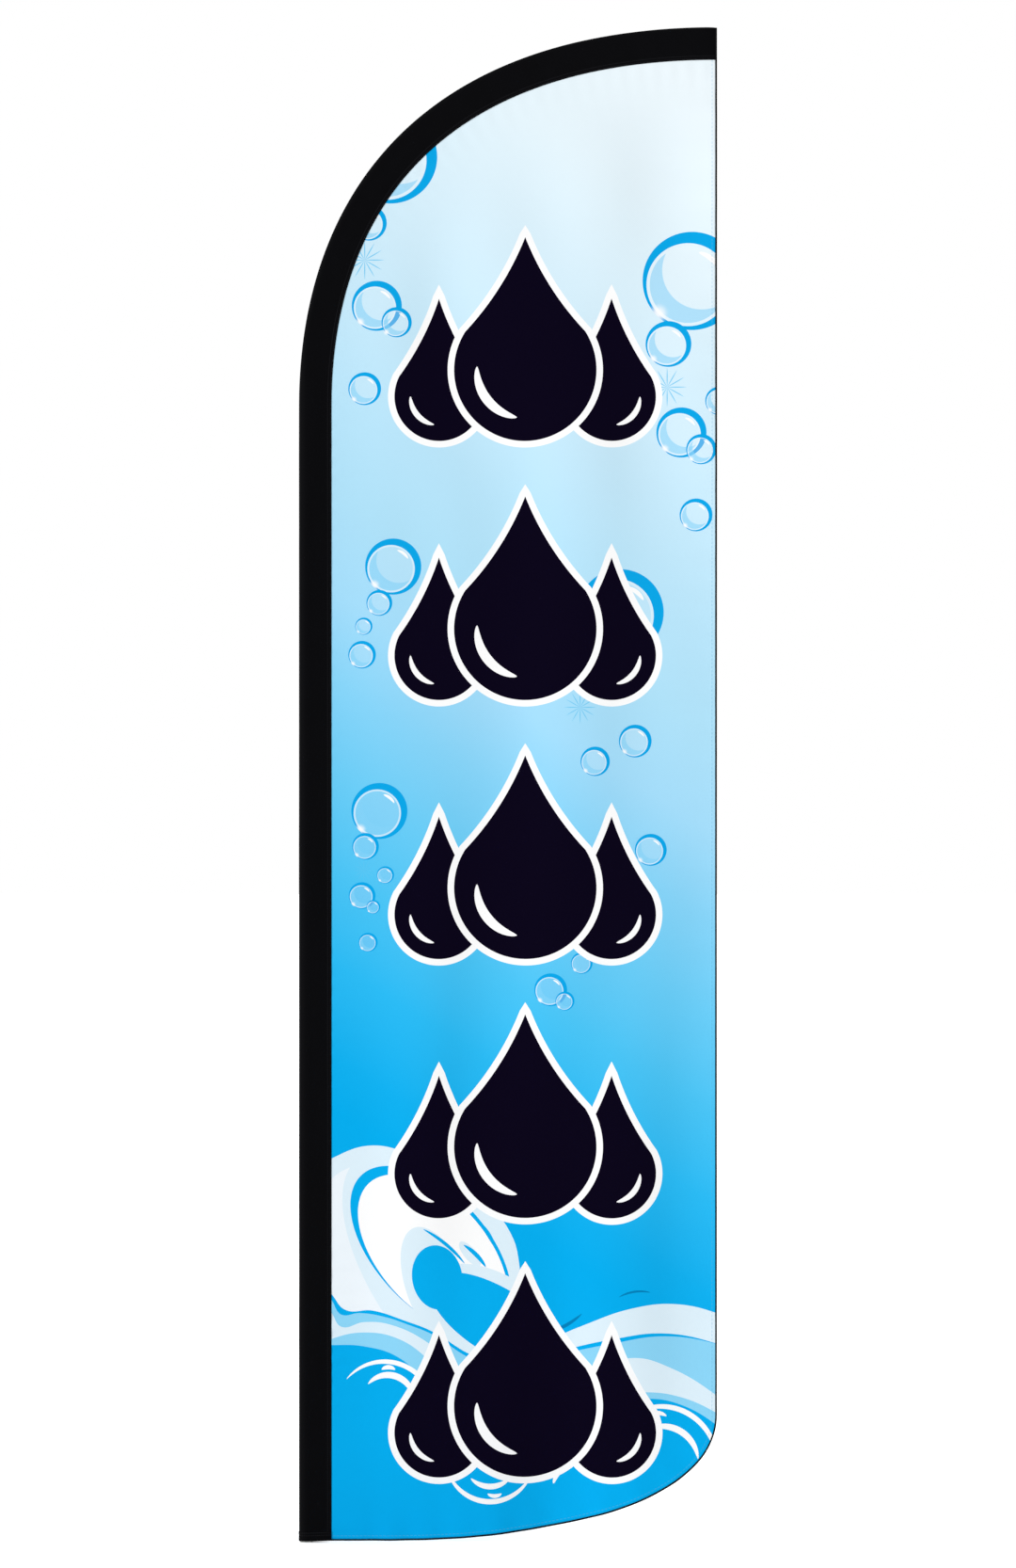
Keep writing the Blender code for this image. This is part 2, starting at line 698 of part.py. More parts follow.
def build_spindle(materials, parent):
    """The pieces that stay still: the post, its thrust washer and what keeps the hub on."""
    build_spindle_post(materials, parent)
    rim = BASE_FLANGE_RADIUS - THRUST_WASHER_STEP
    washer = ring_profile(SHAFT_CLEAR_RADIUS, rim, WASHER_Z, WASHER_Z + WASHER_HEIGHT)
    turned("thrust_washer", washer, materials["nylon"], parent)
    low = SHAFT_TOP_Z + GAP
    high = low + WASHER_HEIGHT
    keeper = ring_profile(SCREW_RADIUS + GAP, BUSH_RADIUS - GAP, low, high)
    turned("retaining_washer", keeper, materials["steel"], parent)
    head = high + GAP
    screw_end = SHAFT_TOP_Z - SCREW_HOLE_DEPTH + EDGE_BREAK
    screw = [
        (0.0, head + SCREW_HEAD_HEIGHT - SCREW_SOCKET_DEPTH),
        (SCREW_SOCKET_RADIUS, head + SCREW_HEAD_HEIGHT - SCREW_SOCKET_DEPTH),
        (SCREW_SOCKET_RADIUS, head + SCREW_HEAD_HEIGHT),
        (SCREW_HEAD_RADIUS * 0.55, head + SCREW_HEAD_HEIGHT),
        (SCREW_HEAD_RADIUS * 0.86, head + SCREW_HEAD_HEIGHT * 0.7),
        (SCREW_HEAD_RADIUS, head + SCREW_HEAD_HEIGHT * 0.25),
        (SCREW_HEAD_RADIUS, head),
        (SCREW_RADIUS, head),
        (SCREW_RADIUS, screw_end),
        (0.0, screw_end),
    ]
    turned("retaining_screw", screw, materials["steel"], parent, SMALL_TURN_STEPS)


def ring_heights():
    """The heights of the two rubber rings on the hub."""
    return (SHOULDER_Z + RING_INSET, HUB_TOP_Z - RING_INSET)


def build_hub(materials, parent):
    """The turning hub with its two bushes, rubber rings and top cap."""
    groove = HUB_RADIUS - RING_GROOVE_DEPTH
    half = RING_RADIUS + GAP
    profile = [(HUB_RADIUS - EDGE_BREAK, HUB_TOP_Z), (HUB_RADIUS, HUB_TOP_Z - EDGE_BREAK)]
    for height in reversed(ring_heights()):
        profile += [(HUB_RADIUS, height + half), (groove, height + half)]
        profile += [(groove, height - half), (HUB_RADIUS, height - half)]
    profile += [
        (HUB_RADIUS, SHOULDER_Z),
        (HUB_SHOULDER_RADIUS, SHOULDER_Z),
        (HUB_SHOULDER_RADIUS, HUB_Z),
        (HUB_BORE_RADIUS, HUB_Z),
        (HUB_BORE_RADIUS, HUB_TOP_Z),
    ]
    turned("hub_sleeve", profile, materials["aluminium"], parent)
    low = LOWER_BUSH_Z
    flange = BUSH_RADIUS + BUSH_FLANGE_WIDTH
    lower = [
        (BUSH_RADIUS, low + BUSH_LENGTH),
        (BUSH_RADIUS, low + BUSH_FLANGE_HEIGHT),
        (flange, low + BUSH_FLANGE_HEIGHT),
        (flange, low),
        (SHAFT_CLEAR_RADIUS, low),
        (SHAFT_CLEAR_RADIUS, low + BUSH_LENGTH),
    ]
    turned("lower_bush", lower, materials["nylon"], parent)
    upper = ring_profile(SHAFT_CLEAR_RADIUS, BUSH_RADIUS, SHAFT_TOP_Z - BUSH_LENGTH, SHAFT_TOP_Z)
    turned("upper_bush", upper, materials["nylon"], parent)
    build_rubber_rings(groove, materials, parent)
    plug = HUB_BORE_RADIUS - GAP
    cap = [
        (0.0, HUB_TOP_Z + GAP + CAP_HEAD_HEIGHT),
        (HUB_RADIUS * 0.6, HUB_TOP_Z + GAP + CAP_HEAD_HEIGHT * 0.92),
        (HUB_RADIUS * 0.9, HUB_TOP_Z + GAP + CAP_HEAD_HEIGHT * 0.55),
        (HUB_RADIUS, HUB_TOP_Z + GAP),
        (plug, HUB_TOP_Z + GAP),
        (plug, HUB_TOP_Z - CAP_PLUG_LENGTH),
        (0.0, HUB_TOP_Z - CAP_PLUG_LENGTH),
    ]
    turned("hub_cap", cap, materials["nylon"], parent)


def build_rubber_rings(groove, materials, parent):
    """The two rubber rings that stop the tube from rattling on the hub."""
    for name, height in zip(("lower_rubber_ring", "upper_rubber_ring"), ring_heights()):
        section = []
        sides = 8
        for step in range(sides):
            angle = -2 * math.pi * step / sides
            middle = groove + GAP + RING_RADIUS
            across = middle + RING_RADIUS * math.cos(angle)
            section.append((across, height + RING_RADIUS * math.sin(angle)))
        turned(name, section, materials["rubber"], parent)


def shade_round_pieces():
    """Applies each mesh piece's modifiers and shades it smooth, with its hard edges sharp."""
    bpy.context.view_layer.update()
    graph = bpy.context.evaluated_depsgraph_get()
    for piece in bpy.data.collections[COLLECTION_NAME].objects:
        if piece.type == "MESH":
            shaped = bpy.data.meshes.new_from_object(piece.evaluated_get(graph))
            piece.modifiers.clear()
            piece.data = shaped
            shaped.shade_smooth()
            shaped.set_sharp_from_angle(angle=SHARP_ANGLE)


def make_materials():
    """Every finish of the part, by name."""
    return {
        "print": make_material("printed_polyester", (0.18, 0.62, 0.88), 0.75),
        "cloth": make_material("black_polyester", (0.005, 0.005, 0.006), 0.8),
        "webbing": make_material("black_webbing", (0.01, 0.01, 0.012), 0.85),
        "aluminium": make_material("anodised_aluminium", (0.62, 0.63, 0.65), 0.35, 1.0),
        "steel": make_material("zinc_plated_steel", (0.55, 0.56, 0.57), 0.3, 1.0),
        "nylon": make_material("black_nylon", (0.02, 0.02, 0.022), 0.5),
        "rubber": make_material("black_rubber", (0.015, 0.015, 0.015), 0.85),
        "fibreglass": make_material("black_fibreglass", (0.025, 0.025, 0.028), 0.3),
    }


def main():
    """Builds the flag from the ground up, one body inside the next."""
    clear_scene()
    new_collection(COLLECTION_NAME)
    new_collection(CUTTERS_NAME)
    materials = make_materials()
    edge = Edge()

    spindle = add_empty("spindle_body")
    build_spindle(materials, spindle)
    hub = add_empty("hub_body", parent=spindle)
    build_hub(materials, hub)

    names = (
        {"tube": "lower_tube", "collar": "lower_tube_collar"},
        {"tube": "middle_tube", "collar": "middle_tube_collar", "ring": "middle_stop_ring"},
        {"tube": "upper_tube", "ring": "upper_stop_ring"},
    )
    carrier = hub
    for index, body in enumerate(("lower_mast_body", "middle_mast_body", "upper_mast_body")):
        carrier = add_empty(body, parent=carrier)
        if index == 0:
            build_foot_ferrule(materials, carrier)
        build_tube(index, names[index], materials, carrier)
    build_tip_ferrule(materials, carrier)

    flag = add_empty("flag_body", parent=carrier)
    build_tip_rod(edge, materials["fibreglass"], flag)
    build_tip_cap(edge, materials["rubber"], flag)
    build_strap(edge, materials["webbing"], flag)
    build_sleeve(edge, materials["cloth"], flag)
    build_mouth_band(materials["cloth"], flag)
    build_panel(edge, materials["print"], flag)
    build_binding(materials["cloth"], flag)
    shade_round_pieces()


if __name__ == "__main__":
    main()
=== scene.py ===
"""Looks of a tall printed feather flag that turns on a spindle.

The printed panel, the sleeve that carries it, the doubled band round the sleeve's mouth and the
taped free edge are made here as sheets of cloth. The mast and the spindle inside the sleeve keep
their designed shapes, with softened edges and real finishes.

Lengths are in metres unless a name says otherwise. The flag faces -Y and stands on z = 0.
"""

import json
import logging
import math
from collections.abc import Mapping, Sequence
from dataclasses import dataclass, field
from enum import Enum

import bpy
import numpy as np
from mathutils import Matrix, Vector, noise

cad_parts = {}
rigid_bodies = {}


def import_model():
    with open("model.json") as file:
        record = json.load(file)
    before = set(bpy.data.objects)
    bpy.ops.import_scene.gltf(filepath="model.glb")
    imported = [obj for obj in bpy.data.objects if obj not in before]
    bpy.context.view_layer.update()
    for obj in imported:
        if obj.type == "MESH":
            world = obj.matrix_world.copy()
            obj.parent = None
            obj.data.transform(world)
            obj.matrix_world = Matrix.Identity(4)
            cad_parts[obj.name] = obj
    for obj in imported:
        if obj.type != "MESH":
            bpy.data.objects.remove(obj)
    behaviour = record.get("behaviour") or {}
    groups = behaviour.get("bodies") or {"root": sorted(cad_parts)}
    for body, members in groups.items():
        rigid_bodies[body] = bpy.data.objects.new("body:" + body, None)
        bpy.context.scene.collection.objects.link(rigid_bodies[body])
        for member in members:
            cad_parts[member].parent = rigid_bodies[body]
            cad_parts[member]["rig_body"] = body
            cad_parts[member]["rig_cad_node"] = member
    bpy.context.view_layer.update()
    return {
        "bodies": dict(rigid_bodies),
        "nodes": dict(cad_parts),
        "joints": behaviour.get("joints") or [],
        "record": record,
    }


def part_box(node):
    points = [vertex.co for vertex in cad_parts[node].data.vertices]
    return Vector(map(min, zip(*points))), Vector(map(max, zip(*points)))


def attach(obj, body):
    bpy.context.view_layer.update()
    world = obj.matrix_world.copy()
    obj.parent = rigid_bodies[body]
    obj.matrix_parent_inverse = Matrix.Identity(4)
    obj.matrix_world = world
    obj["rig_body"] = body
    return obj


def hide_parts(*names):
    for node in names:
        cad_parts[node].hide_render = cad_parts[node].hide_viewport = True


LOG = logging.getLogger("feather_flag")
MM = 0.001
TURN = 2 * math.pi

MATH = "ShaderNodeMath"
VECTOR = "ShaderNodeVectorMath"
MIX = "ShaderNodeMix"
BUMP = "ShaderNodeBump"

UV_SPAN = 4.0  # metres of cloth across the whole of the flat-cut map
RUN_SPAN = 8.0  # metres of hem along the whole of the hem map
SEWN = "sewn_edge"  # the map of how far a place is along and from the edge that a cloth is sewn at

Socket = bpy.types.NodeSocket
Colour = tuple[float, float, float, float]
Pair = tuple[float, float]


def linear(code: str) -> Colour:
    """Turns an sRGB hex colour into the linear one that a shader takes.

    Args:
        code: The colour, such as "#00adee".

    Returns:
        Red, green, blue and an alpha of 1.
    """
    parts = [int(code[i : i + 2], 16) / 255 for i in (1, 3, 5)]
    red, green, blue = [p / 12.92 if p <= 0.04045 else ((p + 0.055) / 1.055) ** 2.4 for p in parts]
    return (red, green, blue, 1.0)


def eased(share: np.ndarray) -> np.ndarray:
    """Holds a share between 0 and 1 and eases both of its ends."""
    held = np.clip(share, 0.0, 1.0)
    return held * held * (3 - 2 * held)


def bezier(corners: np.ndarray, shares: np.ndarray) -> np.ndarray:
    """Follows a cubic Bezier curve.

    Args:
        corners: Its four corners, one to a row.
        shares: How far along it each point lies, from 0 to 1.

    Returns:
        One point to a row.
    """
    along = shares[:, None]
    rest = 1 - along
    ends = corners[0] * rest**3 + corners[3] * along**3
    return ends + 3 * rest * along * (corners[1] * rest + corners[2] * along)


def unit(vectors: np.ndarray) -> np.ndarray:
    """Scales each row to a length of 1."""
    return vectors / np.maximum(np.linalg.norm(vectors, axis=1, keepdims=True), 1e-12)


class Path:
    """A line on the flat cut, measured along its length, with a side that counts as inward."""

    def __init__(self, points: np.ndarray, turn: int) -> None:
        """Measures the line.

        Args:
            points: The line's points as (x, z), one to a row.
            turn: 1 if inward is a quarter turn to the right of its direction, and -1 if to the left.
        """
        steps = np.linalg.norm(np.diff(points, axis=0), axis=1)
        self.points = points
        self.turn = turn
        self.lengths = np.concatenate([[0.0], np.cumsum(steps)])
        self.total = float(self.lengths[-1])
        along = unit(np.gradient(points, self.lengths, axis=0))
        self.sides = turn * np.column_stack([along[:, 1], -along[:, 0]])

    def at(self, lengths: np.ndarray) -> np.ndarray:
        """Finds the points at those lengths."""
        return np.column_stack([np.interp(lengths, self.lengths, self.points[:, i]) for i in (0, 1)])

    def inward(self, lengths: np.ndarray) -> np.ndarray:
        """Finds the unit vectors that point inward at those lengths."""
        sides = [np.interp(lengths, self.lengths, self.sides[:, i]) for i in (0, 1)]
        return unit(np.column_stack(sides))

    def nearest(self, places: np.ndarray, spacing: float = 0.01) -> tuple[np.ndarray, np.ndarray]:
        """Measures how places lie to the line.

        Args:
            places: The places as (x, z), one to a row.
            spacing: How far apart the line is sampled.

        Returns:
            How far along the line each place is, and how far inward of it.
        """
        lengths = np.linspace(0.0, self.total, int(self.total / spacing) + 1)
        points = self.at(lengths)
        sides = self.inward(lengths)
        runs = np.empty(len(places))
        depths = np.empty(len(places))
        for start in range(0, len(places), 4000):
            some = places[start : start + 4000]
            gaps = some[:, None, :] - points[None, :, :]
            best = (gaps**2).sum(axis=2).argmin(axis=1)
            gap = gaps[np.arange(len(some)), best]
            side = sides[best]
            along = self.turn * np.column_stack([-side[:, 1], side[:, 0]])
            runs[start : start + 4000] = lengths[best] + (gap * along).sum(axis=1)
            depths[start : start + 4000] = (gap * side).sum(axis=1)
        return runs, depths


@dataclass
class FlagCut:
    """The flag's flat cut, seen from the front: where its outer edge, seam and hems run."""

    sleeve_width: float = 0.075
    bow_rise: float = 0.877
    bow_foot_fullness: float = 0.565
    bow_top_fullness: float = 0.70
    hem_flat: float = 0.102
    corner_rise: float = 0.291
    corner_foot_fullness: float = 0.557
    corner_side_fullness: float = 0.68
    seam_tuck: float = 0.006  # how far the panel's edge lies between the sleeve's two plies
    samples: int = 1500
    left: float = field(init=False)
    right: float = field(init=False)
    bottom: float = field(init=False)
    top: float = field(init=False)
    edge: Path = field(init=False)
    seam: Path = field(init=False)
    tuck: Path = field(init=False)
    hem: Path = field(init=False)
    free: Path = field(init=False)

    def __post_init__(self) -> None:
        """Reads the cloth's extent from the frame and lays out its lines."""
        low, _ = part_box("mouth_binding")
        _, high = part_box("pole_sleeve")
        self.left, self.bottom = low.x, low.z
        self.right, self.top = high.x, high.z
        self.edge = self.outer_edge()
        self.seam = self.inside_edge(self.sleeve_width)
        self.tuck = self.inside_edge(self.sleeve_width - self.seam_tuck)
        self.hem = self.bottom_hem(self.tuck.points[0, 0])
        fly = np.array([[self.right, self.top - self.sleeve_width]])
        self.free = Path(np.vstack([self.hem.points, fly]), -1)

    @property
    def width(self) -> float:
        """The width of the whole cloth."""
        return self.right - self.left

    @property
    def bow_start(self) -> float:
        """How far up the outer edge the bow begins."""
        return self.top - self.bow_rise - self.bottom

    def outer_edge(self) -> Path:
        """Follows the outer edge from the sleeve's mouth up and over the bow to the free corner.

        Returns:
            The edge, with inward towards the panel.
        """
        foot = self.top - self.bow_rise
        corners = np.array(
            [
                [self.left, foot],
                [self.left, foot + self.bow_foot_fullness * self.bow_rise],
                [self.right - self.bow_top_fullness * self.width, self.top],
                [self.right, self.top],
            ]
        )
        straight = np.linspace(self.bottom, foot, self.samples, endpoint=False)
        mast = np.column_stack([np.full(self.samples, self.left), straight])
        bow = bezier(corners, np.linspace(0, 1, self.samples))
        return Path(np.vstack([mast, bow]), 1)

    def inside_edge(self, depth: float) -> Path:
        """Follows the outer edge at a depth inside it."""
        lengths = self.edge.lengths
        return Path(self.edge.at(lengths) + depth * self.edge.inward(lengths), 1)

    def bottom_hem(self, start: float) -> Path:
        """Follows the bottom edge and goes round the lower corner.

        Args:
            start: The x that it starts from.

        Returns:
            The hem, with inward towards the panel.
        """
        turn_in = self.left + self.sleeve_width + self.hem_flat
        run = self.right - turn_in
        side = self.bottom + (1 - self.corner_side_fullness) * self.corner_rise
        corners = np.array(
            [
                [turn_in, self.bottom],
                [turn_in + self.corner_foot_fullness * run, self.bottom],
                [self.right, side],
                [self.right, self.bottom + self.corner_rise],
            ]
        )
        level = np.linspace(start, turn_in, 40, endpoint=False)
        flat = np.column_stack([level, np.full(40, self.bottom)])
        return Path(np.vstack([flat, bezier(corners, np.linspace(0, 1, self.samples))]), -1)


@dataclass
class Hang:
    """How the cloth hangs: the way that its panel stands off the flat plane."""

    cut: FlagCut
    loose: float = 0.30  # distance from the seam over which the cloth comes free of it
    most: float = 0.019
    slack_lost: float = 0.45  # how much calmer the cloth is at its top than at its foot
    broad: float = 0.0105
    broad_spacing: float = 0.47
    broad_lean: float = 5.5  # rise over which a broad fold moves across by its own spacing
    fine: float = 0.0050
    fine_spacing: float = 0.26
    fine_lean: float = 3.1
    drag: float = 0.0045  # creases that run down from the free corner
    drag_spacing: float = 0.31
    drag_from: float = 1.7
    drag_over: float = 1.2
    ripple: float = 0.0055
    pucker: float = 0.0016
    pucker_spacing: float = 0.041
    hem_wave: float = 0.0016
    hem_spacing: float = 0.088

    def stand_off(self, places: np.ndarray) -> np.ndarray:
        """Finds how far the cloth stands behind the flat plane.

        Args:
            places: Places on the flat cut as (x, z), one to a row.

        Returns:
            One distance along +Y for each place.
        """
        across = places[:, 0] - self.cut.left
        height = places[:, 1] - self.cut.bottom
        runs, depths = self.cut.seam.nearest(places)
        free = eased(depths / self.loose)
        slack = 1.0 - self.slack_lost * height / (self.cut.top - self.cut.bottom)
        sway = height / self.broad_lean + 0.07 * np.sin(1.7 * height)
        broad = np.sin(TURN * (across / self.broad_spacing + sway))
        sway = 0.06 * np.sin(2.9 * height) - height / self.fine_lean
        fine = np.sin(TURN * (across / self.fine_spacing + sway))
        drag = np.sin(TURN * (across * 0.9 + height * 0.36) / self.drag_spacing)
        soft = np.array([noise.noise(Vector((2.4 * x, 0.9 * z, 0.7))) for x, z in places])
        crease = np.array([noise.noise(Vector((7.0 * x + z, 1.6 * z, 4.1))) for x, z in places])
        rest = self.broad * broad + self.fine * fine * slack + self.ripple * (soft + 0.5 * crease)
        upper = eased((height - self.drag_from) / self.drag_over)
        hung = free * slack * rest + free * upper * self.drag * drag
        return self.most * np.tanh((hung + self.edges(places, runs, depths)) / self.most)

    def edges(self, places: np.ndarray, runs: np.ndarray, depths: np.ndarray) -> np.ndarray:
        """Shapes the small puckers beside the seam and the waves of the free hem.

        Args:
            places: Places on the flat cut as (x, z), one to a row.
            runs: How far along the seam each of them is.
            depths: How far it is from the seam.

        Returns:
            One distance along +Y for each place.
        """
        wander = np.array([noise.noise(Vector((3.0 * run, 0.3, 9.0))) for run in runs])
        near = np.clip(depths / 0.010, 0, 1) * np.exp(-depths / 0.045)
        pucker = near * np.sin(TURN * runs / self.pucker_spacing + 5 * wander) * (0.5 + wander)
        hem_runs, hem_depths = self.cut.free.nearest(places)
        calm = eased(depths / 0.10)
        wave = np.exp(-np.maximum(hem_depths, 0) / 0.05) * np.sin(
            TURN * hem_runs / self.hem_spacing + 2.5 * np.sin(2.3 * hem_runs)
        )
        return self.pucker * pucker + self.hem_wave * wave * calm


def deselect() -> None:
    """Leaves nothing selected."""
    for found in list(bpy.context.selected_objects):
        found.select_set(False)


def choose(piece: bpy.types.Object) -> None:
    """Selects one piece and makes it the active one.

    Args:
        piece: The piece.
    """
    deselect()
    bpy.context.view_layer.objects.active = piece
    piece.select_set(True)


def apply_modifiers(piece: bpy.types.Object) -> None:
    """Applies all of a piece's modifiers, in order.

    Args:
        piece: The piece.
    """
    choose(piece)
    for name in [modifier.name for modifier in piece.modifiers]:
        bpy.ops.object.modifier_apply(modifier=name)


def thicken(piece: bpy.types.Object, thickness: float) -> None:
    """Gives an open sheet its thickness, half to each side, and shades it smooth.

    Args:
        piece: The sheet.
        thickness: Its thickness.
    """
    wall = piece.modifiers.new("thickness", "SOLIDIFY")
    wall.thickness = thickness
    wall.offset = 0.0
    wall.use_even_offset = False
    apply_modifiers(piece)
    bpy.ops.object.shade_smooth()


def lofted(name: str, rings: np.ndarray, loop: bool) -> bpy.types.Object:
    """Makes a sheet that runs through rings of points.

    Args:
        name: The piece's name.
        rings: The points, as rings by points by three.
        loop: True if each ring closes on itself.

    Returns:
        The piece.
    """
    count, size = rings.shape[:2]
    mesh = bpy.data.meshes.new(name)
    steps = size if loop else size - 1
    faces = []
    for i in range(count - 1):
        for j in range(steps):
            k = (j + 1) % size
            faces.append((i * size + j, i * size + k, (i + 1) * size + k, (i + 1) * size + j))
    if loop:
        faces.append(tuple(reversed(range(size))))
        faces.append(tuple((count - 1) * size + j for j in range(size)))
    mesh.from_pydata(rings.reshape(-1, 3).tolist(), [], faces)
    piece = bpy.data.objects.new(name, mesh)
    bpy.context.scene.collection.objects.link(piece)
    return piece


def lay_map(piece: bpy.types.Object, name: str, places: np.ndarray) -> None:
    """Gives a piece a UV map.

    Args:
        piece: The piece.
        name: The map's name.
        places: The map's place for each vertex, one to a row.
    """
    mesh = piece.data
    corners = np.empty(len(mesh.loops), dtype=np.int32)
    mesh.loops.foreach_get("vertex_index", corners)
    layer = mesh.uv_layers.get(name) or mesh.uv_layers.new(name=name)
    layer.data.foreach_set("uv", places[corners].astype(np.float32).ravel())


class Graph:
    """The nodes of one material."""

    def __init__(self, name: str) -> None:
        """Starts a material with its Principled shader.

        Args:
            name: The material's name.
        """
        self.material = bpy.data.materials.new(name)
        self.material.use_nodes = True
        self.tree = self.material.node_tree
        self.shader = self.tree.nodes["Principled BSDF"]

    def add(self, kind: str, inputs: Mapping, out: int | str = 0, **settings: object) -> Socket:
        """Adds a node.

        Args:
            kind: Its type.
            inputs: A value, or the output that feeds it, for each input by number or name.
            out: Which of its outputs is wanted.
            **settings: Its settings.

        Returns:
            That output.
        """
        node = self.tree.nodes.new(kind)
        for name, value in settings.items():
            setattr(node, name, value)
        for key, value in inputs.items():
            if isinstance(value, bpy.types.NodeSocket):
                self.tree.links.new(value, node.inputs[key])
            else:
                node.inputs[key].default_value = value
        return node.outputs[out]

    def feed(self, name: str, value: Socket) -> None:
        """Feeds one of the shader's inputs."""
        self.tree.links.new(value, self.shader.inputs[name])

    def set(self, **values: float | Colour) -> None:
        """Sets the shader's own inputs, with _ for a space in their names."""
        for name, value in values.items():
            self.shader.inputs[name.replace("_", " ")].default_value = value

    def paint(self, under: Socket, code: str, mask: Socket, cover: float = 1.0) -> Socket:
        """Lays a colour over another where a mask says.

        Args:
            under: The colour so far.
            code: The new colour.
            mask: 1 where it goes, and 0 elsewhere.
            cover: How much of the old colour it hides.

        Returns:
            The colour that results.
        """
        if cover < 1:
            mask = self.add(MATH, {0: mask, 1: cover}, operation="MULTIPLY")
        inputs = {0: mask, 6: under, 7: linear(code)}
        return self.add(MIX, inputs, out=2, data_type="RGBA")

    def both(self, first: Socket, second: Socket) -> Socket:
        """Joins two masks, so that both have to hold."""
        return self.add(MATH, {0: first, 1: second}, operation="MULTIPLY")


@dataclass(frozen=True)
class Round:
    """A round motif of the print: its centre's place on the cloth and its radius, in millimetres."""

    across: float
    height: float
    radius: float


@dataclass(frozen=True)
class Drop:
    """One of the water drops of an emblem, in millimetres."""

    aside: float  # of its axis from the emblem's middle
    radius: float
    height: float


@dataclass(frozen=True)
class Stroke:
    """A brush stroke of the print along an arc, in millimetres and degrees, thinning to its ends."""

    across: float
    height: float
    radius: float
    width: float
    aim: float
    spread: float


@dataclass(frozen=True)
class Oval:
    """An oval of the print: its colour, its centre and radii in millimetres, and its turn in degrees."""

    code: str
    centre: Pair
    radii: Pair
    turn: float


@dataclass(frozen=True)
class Hill:
    """A band of a wave: its colour, and its crest as (across, height) in millimetres."""

    code: str
    crest: tuple[Pair, ...]


